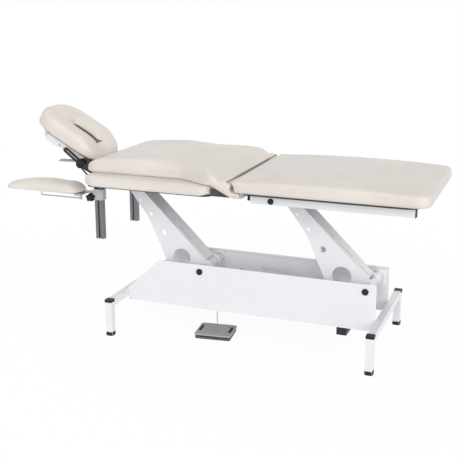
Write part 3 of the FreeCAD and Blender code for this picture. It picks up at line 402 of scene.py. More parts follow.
colors = {
    "white": (0.79, 0.79, 0.81),
    "cream": (0.705, 0.649, 0.597),
    "board": (0.045, 0.04, 0.036),
    "black": (0.016, 0.016, 0.018),
    "grey": (0.37, 0.37, 0.375),
    "aluminium": (0.21, 0.215, 0.23),
    "steel": (0.50, 0.50, 0.52),
    "chrome": (0.46, 0.46, 0.48),
    "cord": (0.76, 0.76, 0.75),
    "paleGrey": (0.60, 0.60, 0.61),
    "dark": (0.03, 0.03, 0.034),
    "darkGrey": (0.09, 0.09, 0.095),
    # Painted shade: a darker cover for the face hole's inner wall.
    "holeShade": (0.20, 0.175, 0.155),
    # Painted shade: a dark bar for the seam's shadow between the back and leg cushions.
    "seamShade": (0.27, 0.24, 0.215),
    "lightPaint": (0.52, 0.53, 0.54),
}

finish = {
    "white": coatedSteel("whiteCoat", colors["white"]),
    "cream": leatherette("creamCover", colors["cream"]),
    "board": paintedBoard("darkBoard", colors["board"]),
    "black": mouldedPlastic("blackPlastic", colors["black"]),
    "blackSteel": coatedSteel("blackCoat", colors["black"], 0.4),
    "rubber": softRubber("footRubber", colors["black"]),
    "grey": mouldedPlastic("greyPlastic", colors["grey"]),
    "paleGrey": mouldedPlastic("paleGreyPlastic", colors["paleGrey"]),
    "dark": mouldedPlastic("darkPlastic", colors["dark"]),
    "darkGrey": mouldedPlastic("darkGreyPlastic", colors["darkGrey"]),
    "aluminium": drawnMetal("anodisedBar", colors["aluminium"], 0.38, (900.0, 900.0, 12.0)),
    "steel": drawnMetal("turnedSteel", colors["steel"], 0.3, (500.0, 30.0, 500.0)),
    "chrome": platedMetal("chromePlate", colors["chrome"]),
    "cord": cordJacket("cordJacket", colors["cord"]),
    # Painted shade: the face hole's wall cover, darker than the cream.
    "holeShade": leatherette("holeShadePaint", colors["holeShade"], 0.6),
    # Painted shade: the seam bar's dark cover.
    "seamShade": leatherette("seamShadePaint", colors["seamShade"], 0.6),
    "paintedMetal": coatedSteel("lightCoat", colors["lightPaint"], 0.36),
}

slotFinish = {
    "white_steel": "white", "upholstery": "cream", "board": "board", "black_plastic": "black",
    "black_steel": "blackSteel", "rubber": "rubber", "grey_plastic": "grey", "dark_plastic": "dark",
    "aluminium": "aluminium", "steel": "steel", "chrome": "chrome", "cord": "cord",
    "pale_plastic": "paleGrey", "cast_metal": "paintedMetal",
}

nodeFinish = {"pedal_housing": "darkGrey"}


def dressNodes():
    # Each CAD node gets the finish of its slot in the record, or its own where it has one.
    for entry in frame["record"]["subparts"]:
        node = frame["nodes"][entry["node"]]
        material = finish[nodeFinish.get(entry["node"], slotFinish[entry["material_slot"]])]
        node.data.materials.clear()
        node.data.materials.append(material)


dressNodes()
pedalCord.data.materials.append(finish["cord"])
print("materials made")


# Helpers for new pieces

def addObject(name, mesh, material, body, smooth=True):
    piece = bpy.data.objects.new(name, mesh)
    bpy.context.scene.collection.objects.link(piece)
    mesh.materials.clear()
    mesh.materials.append(material)
    if smooth:
        mesh.polygons.foreach_set("use_smooth", np.ones(len(mesh.polygons), bool))
    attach(piece, body)
    return piece


def coordinatesOf(mesh):
    values = np.empty(len(mesh.vertices) * 3)
    mesh.vertices.foreach_get("co", values)
    return values.reshape(-1, 3)


def setCoordinates(mesh, values):
    mesh.vertices.foreach_set("co", np.ascontiguousarray(values).ravel())
    mesh.update()


def applyModifiers(piece):
    # The mesh as its modifiers leave it takes the place of the piece's own.
    graph = bpy.context.evaluated_depsgraph_get()
    mesh = bpy.data.meshes.new_from_object(piece.evaluated_get(graph))
    piece.modifiers.clear()
    piece.data = mesh
    return mesh


# Cushions: each starts from its CAD form, gets the shape of its foam by moves of its points,
# and its cover is then blown up a little. Heights and places are in metres.

headHinge = {"x": -0.825 + originShift, "z": 0.768,
             "tilt": math.radians(29.0), "upright": math.radians(36.0)}

# Each cushion's body; the voxel size of its even mesh; rounds of smoothing before and after the
# shaping; how far the cover is drawn in and may be blown out; rounds that even out its moves.
cushionSetup = {
    "leg_cushion": {"body": "upper_frame", "voxel": 0.008, "relax": 5, "calm": 4,
                    "shrink": 0.002, "cap": 0.006, "ease": 30},
    "back_cushion": {"body": "back", "voxel": 0.007, "relax": 6, "calm": 8,
                     "shrink": 0.001, "cap": 0.004, "ease": 24, "flareEase": 70},
    "head_cushion": {"body": "head", "voxel": 0.005, "relax": 12, "calm": 10,
                     "shrink": 0.002, "cap": 0.005, "ease": 16},
}
for side in ("front", "rear"):
    cushionSetup["wing_pad_" + side] = {"body": "wing_" + side, "voxel": 0.006, "relax": 6, "calm": 6,
                                        "shrink": 0.001, "cap": 0.003, "ease": 16}
for side in ("front", "rear"):
    cushionSetup["armrest_pad_" + side] = {"body": "armrest_" + side, "voxel": 0.005, "relax": 4,
                                           "calm": 10, "shrink": 0.001, "cap": 0.005, "ease": 16}
underLimit = -0.75  # a normal whose Z is below this belongs to the underside, which stays put
weldDistance = 1e-5
least = 1e-9  # this and the next keep a division from meeting nothing
thin = 1e-4


def roundCorner(depth, drop, radius):
    # Two faces meet where depth and drop are both 0. Inside a square of the radius a point keeps
    # its larger distance from the square's inner corner as its true distance from it, which
    # turns the square's edge into an arc.
    inside = (depth < radius) & (drop < radius)
    across = np.clip(radius - depth, 0.0, None)
    down = np.clip(radius - drop, 0.0, None)
    far = np.hypot(across, down)
    share = np.where(inside & (far > least), np.maximum(across, down) / np.maximum(far, least), 1.0)
    return (np.where(inside, radius - across * share, depth),
            np.where(inside, radius - down * share, drop))


def smoothStep(value, low, high):
    # 0 below low, 1 above high, and between them three times the square less twice the cube.
    share = np.clip((value - low) / (high - low), 0.0, 1.0)
    return share * share * (3.0 - 2.0 * share)


def headLengths(points):
    # The flat head's own lengths: u from the hinge along the board, n square to it.
    cosTilt, sinTilt = math.cos(headHinge["tilt"]), math.sin(headHinge["tilt"])
    x = headHinge["x"] - points[:, 0]
    z = points[:, 2] - headHinge["z"]
    return x * cosTilt + z * sinTilt, z * cosTilt - x * sinTilt


def headPoints(u, y, n):
    # Back from the head's own lengths to points.
    cosTilt, sinTilt = math.cos(headHinge["tilt"]), math.sin(headHinge["tilt"])
    return np.column_stack([headHinge["x"] - (u * cosTilt - n * sinTilt), y,
                            headHinge["z"] + u * sinTilt + n * cosTilt])


def shapeHead(points, setup):
    u, n = headLengths(points)
    y = points[:, 1].copy()
    # The hole closes in sideways: a point at its wall moves most, one at the reach not at all,
    # and the end towards the hinge closes in more, to a point.
    middle = 0.5 * (setup["line"][0] + setup["line"][1])
    near = np.clip(u, setup["line"][0], setup["line"][1])
    away = np.hypot(u - near, y)
    wall = np.sqrt(np.clip(setup["wall"] ** 2 - (u - near) ** 2, 0.0, None))
    fade = 1.0 - smoothStep(away, setup["wall"], setup["reach"])
    narrow = setup["narrow"] + setup["taper"] * (1.0 - smoothStep(u, *setup["taperPlace"]))
    pull = np.minimum(narrow * wall, np.abs(y)) * fade
    y = y - np.sign(y) * pull
    u = middle + (u - middle) * (1.0 - setup["shorter"] * fade) + setup["ahead"] * fade
    # The padding dips towards the hole.
    dip = 1.0 - smoothStep(np.hypot(u - np.clip(u, *setup["line"]), y), *setup["dipReach"])
    n = n - setup["dip"] * dip * smoothStep(n, setup["dipFrom"], setup["top"])
    # The end over the hinge falls to the back section in a large arc.
    cosUp, sinUp = math.cos(headHinge["upright"]), math.sin(headHinge["upright"])
    depth = setup["heel"] + u * cosUp - n * sinUp
    drop = setup["top"] - n
    newDepth, newDrop = roundCorner(depth, drop, setup["arc"])
    n = setup["top"] - newDrop
    u = (newDepth - setup["heel"] + n * sinUp) / cosUp
    return headPoints(u, y, n)


def holeShadeMask(points, setup):
    # True inside the face hole, below its lip: the faces that get the darker cover as painted shade.
    u, n = headLengths(points)
    west, east = setup["holeShadePlace"]
    inside = (u > west) & (u < east) & (np.abs(points[:, 1]) < setup["holeShadeHalf"])
    return inside & (n < setup["holeShadeTop"])


def roundedHalf(half, radius, way):
    # Half width of a plan whose end is rounded by the radius: half - radius + the root of the
    # radius squared less the square of what the way from the end falls short of it.
    short = np.clip(radius - way, 0.0, None)
    return half - radius + np.sqrt(np.clip(radius ** 2 - short ** 2, thin ** 2, None))


def shapeArmrest(points, setup):
    # Local length s runs from the far end to the end by the post. The height over the base is
    # multiplied by a crown that falls to the plan's edge, wall + (1 - wall) times
    # (1 - t to the power p) to the power 1/p, t being the share of the half width; and by
    # 1 + blunt towards the post.
    x, y, z = points.T.copy()
    s = setup["start"] + setup["way"] * (x - setup["origin"])
    far = np.clip(s - setup["ends"][0], 0.0, 1.0)
    near = np.clip(setup["ends"][1] - s, 0.0, 1.0)
    half = np.minimum(roundedHalf(setup["half"], setup["farRadius"], far),
                      roundedHalf(setup["half"], setup["nearRadius"], near))
    t = np.clip(np.abs(y - setup["middle"]) / np.maximum(half, thin), 0.0, 1.0)
    power = setup["power"]
    crown = setup["wall"] + (1.0 - setup["wall"]) * (1.0 - t ** power) ** (1.0 / power)
    crown *= 1.0 + setup["blunt"] * smoothStep(s, *setup["bluntPlace"])
    return np.column_stack([x, y, setup["low"] + (z - setup["low"]) * crown])


def shapeWing(points, setup):
    # The top falls to the outer side as on a bolster, and the cover wraps the board's edge.
    x, y, z = points.T.copy()
    x = x - setup["shorter"] * smoothStep(x, setup["shortFrom"], setup["ends"][1])
    side = np.sign(y.mean())
    depth, drop = roundCorner(setup["outer"] - side * y, setup["top"] - z, setup["radius"])
    y = side * (setup["outer"] - depth)
    z = setup["top"] - drop
    z += setup["lift"] * smoothStep(z, setup["low"], setup["top"])
    rim = np.minimum(np.minimum(setup["outer"] - side * y, side * y - setup["inner"]),
                     np.minimum(x - setup["ends"][0], setup["ends"][1] - x))
    wrap = 1.0 - smoothStep(rim, *setup["wrapRim"])
    wrap *= 1.0 - smoothStep(z, setup["low"], setup["low"] + setup["wrapHigh"])
    return np.column_stack([x, y, z - setup["wrap"] * wrap])


def shapeLeg(points, setup):
    # The lip over the knuckle is rounded and stands back from it, so the seam is a dark valley.
    x, y, z = points.T.copy()
    depth, drop = roundCorner(x - setup["start"], setup["top"] - z, setup["radius"])
    near = 1.0 - smoothStep(depth, 0.0, setup["backReach"])
    depth += setup["back"] * near * smoothStep(z, setup["low"], setup["top"])
    return np.column_stack([setup["start"] + depth, y, setup["top"] - drop])


def shapeBack(points, setup):
    # The underside's rim settles a little onto the wing pads.
    x, y, z = points.T.copy()
    band = 1.0 - smoothStep(z, *setup["settleHeight"])
    ahead = 1.0 - smoothStep(x, *setup["settleUntil"])
    rim = smoothStep(np.abs(y), *setup["settleRim"])
    z = z - setup["settle"] * band * ahead * rim
    # The knuckle stands back from the leg cushion's lip, and the hip piece from its end plate.
    high = smoothStep(z, *setup["lipHeight"])
    x = x - setup["valley"] * high * smoothStep(x, *setup["lip"])
    x = x - setup["valley"] * smoothStep(x, *setup["nose"])
    return np.column_stack([x, y, z])


padShape = {
    "ends": (-1.160, -0.768), "farRadius": 0.030, "nearRadius": 0.062, "half": 0.065,
    "blunt": 0.55, "bluntPlace": (-0.880, -0.800), "wall": 0.30, "power": 2.4, "low": 0.653,
}

wingShape = {
    "outer": 0.349, "inner": 0.185, "top": 0.757, "low": 0.717, "radius": 0.028, "lift": 0.002,
    "wrap": 0.008, "wrapRim": (0.006, 0.011), "wrapHigh": 0.012,
    "ends": (-0.551, 0.085), "shorter": 0.008, "shortFrom": 0.005,
}

headShape = {
    "top": 0.114, "heel": 0.068, "arc": 0.076,
    "line": (0.052, 0.140), "wall": 0.050, "reach": 0.112, "narrow": 0.56,
    "taper": 0.30, "taperPlace": (0.000, 0.090), "shorter": 0.17, "ahead": 0.008,
    "dip": 0.018, "dipReach": (0.014, 0.085), "dipFrom": 0.060,
    # The last three mark where the face hole's wall gets a darker cover, as painted shade.
    "holeShadePlace": (0.022, 0.188), "holeShadeHalf": 0.034, "holeShadeTop": 0.082,
}

legShape = {"start": 0.142, "top": 0.787, "radius": 0.020, "low": 0.770,
            "back": 0.008, "backReach": 0.040}

backShape = {
    "settle": 0.0012, "settleHeight": (0.760, 0.772), "settleUntil": (0.020, 0.050),
    "settleRim": (0.200, 0.230),
    "valley": 0.005, "lipHeight": (0.774, 0.788), "lip": (0.100, 0.150), "nose": (0.204, 0.214),
}

shapes = {
    "armrest_pad_front": (shapeArmrest, dict(padShape, start=0.0, way=1.0, origin=originShift,
                                             middle=-0.220)),
    "armrest_pad_rear": (shapeArmrest, dict(padShape, start=-1.550, way=-1.0, origin=originShift,
                                            middle=0.270)),
    "head_cushion": (shapeHead, headShape),
    "wing_pad_front": (shapeWing, wingShape),
    "wing_pad_rear": (shapeWing, wingShape),
    "leg_cushion": (shapeLeg, legShape),
    "back_cushion": (shapeBack, backShape),
}

flareSetup = {"rise": (-0.26, -0.18), "fall": (0.02, 0.09), "side": (0.15, 0.21),
              "height": (0.766, 0.785)}


def flareShare(points):
    # How far each point of the back cushion may settle: all of it on the flare, none at the bottom.
    x, y, z = points.T
    along = smoothStep(x, *flareSetup["rise"]) * (1.0 - smoothStep(x, *flareSetup["fall"]))
    across = smoothStep(np.abs(y), *flareSetup["side"])
    return along * across * smoothStep(z, *flareSetup["height"])


def easedMoves(mesh, moved, held, rounds):
    # Each point's move becomes, again and again, the mean of its own and its neighbours' mean
    # move, so the cover stays taut where the cloth run left pinches. Held points do not move.
    edges = np.empty(len(mesh.edges) * 2, np.int64)
    mesh.edges.foreach_get("vertices", edges)
    first, second = edges.reshape(-1, 2).T
    count = np.bincount(first, minlength=len(moved)) + np.bincount(second, minlength=len(moved))
    for _ in range(rounds):
        mean = np.empty_like(moved)
        for axis in range(3):
            total = np.bincount(first, moved[second, axis], len(moved))
            total += np.bincount(second, moved[first, axis], len(moved))
            mean[:, axis] = total / np.maximum(count, 1)
        moved = 0.5 * moved + 0.5 * mean
        moved[held] = 0.0
    return moved


coverSetup = {
    "quality": 4, "mass": 0.3, "tension": 30.0, "compression": 30.0, "shear": 20.0, "bending": 6.0,
    "pressure": 4.0, "frames": 20,
}


def inflate(piece, setup, held):
    # A short cloth run with inner pressure; no point may move further than the cap.
    mesh = piece.data
    rest = coordinatesOf(mesh)
    cloth = piece.modifiers.new("cover", "CLOTH")
    settings = cloth.settings
    settings.quality = coverSetup["quality"]
    settings.mass = coverSetup["mass"]
    settings.tension_stiffness = coverSetup["tension"]
    settings.compression_stiffness = coverSetup["compression"]
    settings.shear_stiffness = coverSetup["shear"]
    settings.bending_stiffness = coverSetup["bending"]
    settings.use_pressure = True
    settings.uniform_pressure_force = coverSetup["pressure"]
    settings.effector_weights.gravity = 0.0
    settings.vertex_group_mass = "held"
    cloth.collision_settings.use_collision = False
    cloth.collision_settings.use_self_collision = False
    cloth.point_cache.frame_start = 1
    cloth.point_cache.frame_end = coverSetup["frames"]
    for step in range(1, coverSetup["frames"] + 1):
        bpy.context.scene.frame_set(step)
    blown = applyModifiers(piece)
    moved = coordinatesOf(blown) - rest
    reach = np.linalg.norm(moved, axis=1, keepdims=True)
    moved *= np.minimum(1.0, setup["cap"] / np.maximum(reach, least))
    setCoordinates(blown, rest + easedMoves(blown, moved, held, setup["ease"]))
    bpy.context.scene.frame_set(1)


def smoothed(piece, rounds):
    # Applies the modifiers that are there, and the rounds of smoothing after them.
    relax = piece.modifiers.new("relax", "SMOOTH")
    relax.factor = 0.5
    relax.iterations = rounds
    return applyModifiers(piece)


def makeCushion(node, setup):
    # Copy of the CAD form, remeshed evenly, shaped, eased inwards and then inflated.
    mesh = frame["nodes"][node].data.copy()
    work = bmesh.new()
    work.from_mesh(mesh)
    bmesh.ops.remove_doubles(work, verts=work.verts, dist=weldDistance)
    work.to_mesh(mesh)
    work.free()
    piece = bpy.data.objects.new(node + ".cover", mesh)
    bpy.context.scene.collection.objects.link(piece)
    remesh = piece.modifiers.new("even", "REMESH")
    remesh.mode = "VOXEL"
    remesh.voxel_size = setup["voxel"]
    mesh = smoothed(piece, setup["relax"])
    shape, sizes = shapes[node]
    setCoordinates(mesh, shape(coordinatesOf(mesh), sizes))
    mesh = smoothed(piece, setup["calm"])
    points = coordinatesOf(mesh)
    if "flareEase" in setup:
        settled = easedMoves(mesh, points, np.zeros(len(points), bool), setup["flareEase"])
        points += (settled - points) * flareShare(points)[:, None]
        setCoordinates(mesh, points)
    normals = np.empty(len(mesh.vertices) * 3)
    mesh.vertices.foreach_get("normal", normals)
    normals = normals.reshape(-1, 3)
    under = normals[:, 2] < underLimit
    setCoordinates(mesh, points - normals * (setup["shrink"] * ~under)[:, None])
    held = piece.vertex_groups.new(name="held")
    held.add([int(i) for i in np.flatnonzero(under)], 1.0, "REPLACE")
    inflate(piece, setup, under)
    finer = piece.modifiers.new("finer", "SUBSURF")
    finer.levels = 1
    finer.render_levels = 1
    mesh = piece.data
    mesh.materials.clear()
    mesh.materials.append(finish["cream"])
    mesh.polygons.foreach_set("use_smooth", np.ones(len(mesh.polygons), bool))
    # Painted shade: the face hole's wall below its lip gets a darker cover.
    if "holeShadeTop" in sizes:
        mesh.materials.append(finish["holeShade"])
        centres = np.empty(len(mesh.polygons) * 3)
        mesh.polygons.foreach_get("center", centres)
        holeShaded = holeShadeMask(centres.reshape(-1, 3), sizes)
        mesh.polygons.foreach_set("material_index", holeShaded.astype(np.int32))
    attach(piece, setup["body"])
    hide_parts(node)


for node, setup in cushionSetup.items():
    makeCushion(node, setup)
    print("cushion made:", node)

# Small parts. Places are written in millimetres from the middle of the base, as in the source.

def placeOf(point):
    return np.array([point[0] / 1000.0 + originShift, point[1] / 1000.0, point[2] / 1000.0])


def headPlace(u, y, n):
    # A point of the tilted head, from its own lengths in millimetres.
    return headPoints(u / 1000.0, y / 1000.0, n / 1000.0)[0]


def frameOf(axis):
    # Two unit vectors square to the axis and to each other.
    axis = np.array(axis, float) / np.linalg.norm(axis)
    helper = np.array([0.0, 0.0, 1.0]) if abs(axis[2]) < 0.9 else np.array([1.0, 0.0, 0.0])
    first = np.cross(helper, axis)
    first /= np.linalg.norm(first)
    return first, np.cross(axis, first), axis


def turnedForm(profile, place, axis, around, shape=None):
    # Surface of two parameters: the profile's radius and height, carried round the axis; the
    # shape, where there is one, gives a factor on the radius for each angle and profile step.
    first, second, along = frameOf(axis)
    profile = np.array(profile, float) / 1000.0
    angle = np.arange(around) * 2.0 * math.pi / around
    factor = np.ones((len(profile), around)) if shape is None else shape(angle, len(profile))
    radius = profile[:, :1] * factor
    spokes = np.cos(angle)[:, None] * first + np.sin(angle)[:, None] * second
    points = np.array(place) + radius[..., None] * spokes + profile[:, 1][:, None, None] * along
    return gridFaces(points)


def gridFaces(points):
    # Quads between the rows of a grid whose rows are closed rings; the end rings are capped.
    rows, around = points.shape[:2]
    i, j = np.meshgrid(np.arange(rows - 1), np.arange(around), indexing="ij")
    k = (j + 1) % around
    quads = np.stack([i * around + j, i * around + k,
                      (i + 1) * around + k, (i + 1) * around + j], axis=-1)
    faces = [tuple(q) for q in quads.reshape(-1, 4).tolist()]
    faces.append(tuple(range(around - 1, -1, -1)))
    faces.append(tuple(range((rows - 1) * around, rows * around)))
    return points.reshape(-1, 3), faces


def tubeAlong(path, section):
    # The section's offsets at each point of a closed path make one ring, and quads join each ring
    # with the next, the last one with the first.
    points = path[:, None, :] + section
    rows, around = points.shape[:2]
    i, j = np.meshgrid(np.arange(rows), np.arange(around), indexing="ij")
    k = (j + 1) % around
    nextRow = (i + 1) % rows
    quads = np.stack([i * around + j, nextRow * around + j,
                      nextRow * around + k, i * around + k], axis=-1)
    return points.reshape(-1, 3), [tuple(q) for q in quads.reshape(-1, 4).tolist()]


def joined(forms):
    # All forms' points in one list, with each form's faces counted on from its first point.
    points = []
    faces = []
    start = 0
    for formPoints, formFaces in forms:
        points.append(formPoints)
        faces += [tuple(v + start for v in face) for face in formFaces]
        start += len(formPoints)
    return np.vstack(points), faces


sharpAngle = math.radians(40.0)


def addForms(name, forms, material, body):
    # One piece of several closed forms, faces outward, with edges over the angle kept sharp.
    points, faces = joined(forms)
    mesh = bpy.data.meshes.new(name)
    mesh.from_pydata(points.tolist(), [], faces)
    work = bmesh.new()
    work.from_mesh(mesh)
    bmesh.ops.recalc_face_normals(work, faces=work.faces)
    work.to_mesh(mesh)
    work.free()
    addObject(name, mesh, material, body)
    mesh.set_sharp_from_angle(angle=sharpAngle)


def hexSocket(angle, steps):
    # The outer rings stay round; the last three follow a hexagon: cos 30 over cos of the angle
    # from the middle of the nearest side.
    side = np.mod(angle, math.pi / 3.0) - math.pi / 6.0
    ring = math.cos(math.pi / 6.0) / np.cos(side)
    factor = np.ones((steps, len(angle)))
    factor[-3:] = ring
    return factor


def capScrew(place, axis, radius, height):
    # Round head with a chamfer and a hexagon socket.
    r, h = radius, height
    profile = ((r, -0.4), (r, 0.72 * h), (0.92 * r, 0.92 * h), (0.80 * r, h), (0.60 * r, h),
               (0.58 * r, h), (0.56 * r, 0.45 * h), (0.05 * r, 0.42 * h))
    return turnedForm(profile, place, axis, 36, hexSocket)


def domedCap(place, axis, radius, height):
    # Quarter ellipse over a short wall.
    turn = np.linspace(0.0, 0.47 * math.pi, 9)
    profile = [(radius, -0.3), (radius, 0.25 * height)]
    profile += [(radius * math.cos(t), height * (0.25 + 0.75 * math.sin(t))) for t in turn[1:]]
    return turnedForm(profile, place, axis, 40)


def relief(setup):
    # Tapered sleeve: the radius falls evenly and dips between the ribs.
    share = np.linspace(0.0, 1.0, setup["ribs"] * 6 + 1)
    taper = setup["wide"] + (setup["narrow"] - setup["wide"]) * share
    dip = setup["dip"] * (np.mod(share * setup["ribs"], 1.0) > 0.6)
    profile = np.column_stack([taper - dip, share * setup["length"]])
    return turnedForm(profile, placeOf(setup["place"]), setup["axis"], 28)


# Axes of a plate: across, up and out of its face.
facingX = ((0, 1, 0), (0, 0, 1), (1, 0, 0))
facingY = ((1, 0, 0), (0, 0, 1), (0, 1, 0))


def bevelledPlate(outlinePoints, place, axes, thickness, bevel):
    # A flat outline given in two axes, drawn in by the bevel at both faces.
    across, up, out = [np.array(a, float) for a in axes]
    shape = np.array(outlinePoints, float)
    centre = shape.mean(axis=0)
    reach = np.linalg.norm(shape - centre, axis=1, keepdims=True)
    inner = centre + (shape - centre) * (1.0 - bevel / reach)
    rings = ((inner, 0.0), (shape, bevel), (shape, thickness - bevel), (inner, thickness))
    points = np.array([[placeOf(np.array(place) + a * across + b * up + depth * out) for a, b in ring]
                       for ring, depth in rings])
    return gridFaces(points)


bothSides = (-1.0, 1.0)
frontBack = (("front", -1.0), ("rear", 1.0))

# Screws in the head's side plates; each place is along the head from its hinge, and square to it.
headScrewSetup = {"face": 115.0, "places": ((234.0, 14.0), (150.0, 2.0)), "radius": 5.0, "height": 3.5}
headScrews = [capScrew(headPlace(u, side * headScrewSetup["face"], n), (0.0, side, 0.0),
                       headScrewSetup["radius"], headScrewSetup["height"])
              for side in bothSides for u, n in headScrewSetup["places"]]
addForms("headScrews", headScrews, finish["steel"], "head")

# Caps over the head's hinge, each with a screw in it.
hubSetup = {"x": -825.0, "z": 768.0, "face": 158.0, "radius": 20.0, "height": 6.0,
            "screwFace": 163.5, "screwRadius": 6.0, "screwHeight": 3.0}


def makeHubs(setup):
    forms = []
    for side in bothSides:
        axis = (0.0, side, 0.0)
        forms.append(domedCap(placeOf((setup["x"], side * setup["face"], setup["z"])), axis,
                              setup["radius"], setup["height"]))
        forms.append(capScrew(placeOf((setup["x"], side * setup["screwFace"], setup["z"])), axis,
                              setup["screwRadius"], setup["screwHeight"]))
    addForms("hubCaps", forms, finish["black"], "back")


makeHubs(hubSetup)

# Three screws in each sleeve, clear of the turning knob, and a cap on each knob.
sleeveSetup = {"face": 192.5, "places": ((-731.0, 656.0), (-701.0, 656.0), (-701.0, 617.0)),
               "radius": 3.6, "height": 2.4}
knobSetup = {"place": (-749.5, 625.0), "face": 215.5, "radius": 8.5, "height": 2.2}

for name, side in frontBack:
    axis = (0.0, side, 0.0)
    screws = [capScrew(placeOf((x, side * sleeveSetup["face"], z)), axis,
                       sleeveSetup["radius"], sleeveSetup["height"])
              for x, z in sleeveSetup["places"]]
    addForms("sleeveScrews." + name, screws, finish["steel"], "carriage_" + name)
    x, z = knobSetup["place"]
    cap = domedCap(placeOf((x, side * knobSetup["face"], z)), axis,
                   knobSetup["radius"], knobSetup["height"])
    addForms("knobCap." + name, [cap], finish["dark"], "knob_" + name)
print("screws and caps made")

# Hip ends: a grey plate with ribs closes each nose, and a dark sheet in the board's finish stands in
# the notch beside it for the board seen there in shadow; its darkness is painted shade.
# Outlines are (out from the middle, height) for the plates and (along, height) for the dark sheet.
hipSetup = {
    "plate": ((-346.0, 716.0), (-206.0, 716.0), (-206.0, 741.0), (-346.0, 741.0)),
    "plateX": 47.0, "plateSheet": 2.0, "bevel": 0.5,
    "rib": ((-6.0, 718.0), (6.0, 718.0), (6.0, 739.0), (-6.0, 739.0)),
    "ribPlaces": (-300.0, -262.0, -228.0), "ribX": 48.8, "ribSheet": 0.8, "ribBevel": 0.3,
    "web": ((-94.0, 716.0), (-6.0, 716.0), (-10.0, 719.5), (-70.0, 749.0), (-94.0, 749.0)),
    "webMiddle": 334.0, "webSheet": 3.0,
}


def makeHips(setup):
    plates = []
    webs = []
    ribs = []
    for side in bothSides:
        corners = [(-side * y, z) for y, z in setup["plate"]]
        plates.append(bevelledPlate(corners, (setup["plateX"], 0.0, 0.0), facingX,
                                    setup["plateSheet"], setup["bevel"]))
        for y in setup["ribPlaces"]:
            corners = [(-side * (y + dy), z) for dy, z in setup["rib"]]
            ribs.append(bevelledPlate(corners, (setup["ribX"], 0.0, 0.0), facingX,
                                      setup["ribSheet"], setup["ribBevel"]))
        near = side * setup["webMiddle"] - 0.5 * setup["webSheet"]
        webs.append(bevelledPlate(setup["web"], (0.0, near, 0.0), facingY,
                                  setup["webSheet"], setup["bevel"]))
    addForms("hipPlates", plates, finish["paintedMetal"], "back")
    addForms("hipRibs", ribs, finish["grey"], "back")
    # The dark sheets in the notches stand for the shaded board there; their darkness is painted shade.
    addForms("hipNotchShades", webs, finish["board"], "back")


makeHips(hipSetup)

# Painted shade: a dark bar in the valley between the back and leg cushions stands for the seam's
# shadow; it stays with the leg section.
seamShadeSetup = {"x": (-23.0, -14.5), "z": (770.0, 783.2), "half": 336.0, "bevel": 1.5}


def makeSeamShade(setup):
    west, east = setup["x"]
    low, high = setup["z"]
    bar = bevelledPlate(((west, low), (east, low), (east, high), (west, high)),
                        (0.0, -setup["half"], 0.0), facingY, 2.0 * setup["half"], setup["bevel"])
    # The bar's dark cover is painted shade for the seam's shadow.
    addForms("seamShadePaint", [bar], finish["seamShade"], "upper_frame")


makeSeamShade(seamShadeSetup)

# Pedal: ribbed rubber strips near both ends of the rocker, as dark bands.
pedalSetup = {"place": (-154.0, -126.0), "turn": math.radians(7.0), "top": 24.0, "sunk": -0.4,
              "along": 71.0, "width": 13.0, "half": 33.0, "shift": 5.0, "height": 2.2, "ribs": 7,
              "wave": 0.28, "endRound": 3.0, "sideRound": 1.2}


def pedalStrip(setup, end):
    # A bar whose height is the full height times (1 - wave + wave times the cosine of the rib's
    # angle), rounded down at its ends by a quarter circle.
    steps = setup["ribs"] * 8 + 1
    v = np.linspace(-setup["half"], setup["half"], steps)
    rib = np.cos(np.linspace(0.0, 2.0 * math.pi * setup["ribs"], steps))
    edge = np.clip((setup["half"] - np.abs(v)) / setup["endRound"], 0.0, 1.0)
    high = setup["height"] * (1.0 - setup["wave"] + setup["wave"] * rib)
    high *= np.sqrt(np.clip(1.0 - (1.0 - edge) ** 2, 0.05, 1.0))
    w = setup["width"] / 2.0
    inner = w - setup["sideRound"]
    across = np.array([-w, -w, -inner, inner, w, w])
    share = np.array([0.0, 0.6, 1.0, 1.0, 0.6, 0.0])
    u = end * setup["along"] + across
    heights = np.where(share > 0.0, share * high[:, None], setup["sunk"])
    cosTurn, sinTurn = math.cos(setup["turn"]), math.sin(setup["turn"])
    v = v + setup["shift"]
    x = setup["place"][0] + u[None, :] * cosTurn - v[:, None] * sinTurn
    y = setup["place"][1] + u[None, :] * sinTurn + v[:, None] * cosTurn
    z = setup["top"] + heights
    points = np.stack([x / 1000.0 + originShift, y / 1000.0, z / 1000.0], axis=-1)
    return gridFaces(points)


addForms("pedalStrips", [pedalStrip(pedalSetup, end) for end in bothSides], finish["dark"],
         "pedal_plate")

# Strain reliefs at both ends of the cord, and the tie that holds the coil.
reliefSetup = (
    {"place": (-179.4, -51.3, 7.0), "axis": (-0.122, 0.9925, 0.0), "wide": 4.4, "narrow": 3.0,
     "length": 22.0, "ribs": 5, "dip": 0.55},
    {"place": (440.0, 26.0, 105.0), "axis": (0.03, 0.995, -0.09), "wide": 5.6, "narrow": 3.1,
     "length": 20.0, "ribs": 5, "dip": 0.55},
)
addForms("reliefs", [relief(setup) for setup in reliefSetup], finish["dark"], "base")

tieSetup = {"azimuth": math.radians(-20.0), "out": 27.5, "height": 11.6, "half": 0.2, "tall": 7.6,
            "radius": 3.2, "sheet": 1.0, "width": 4.0, "steps": 48}


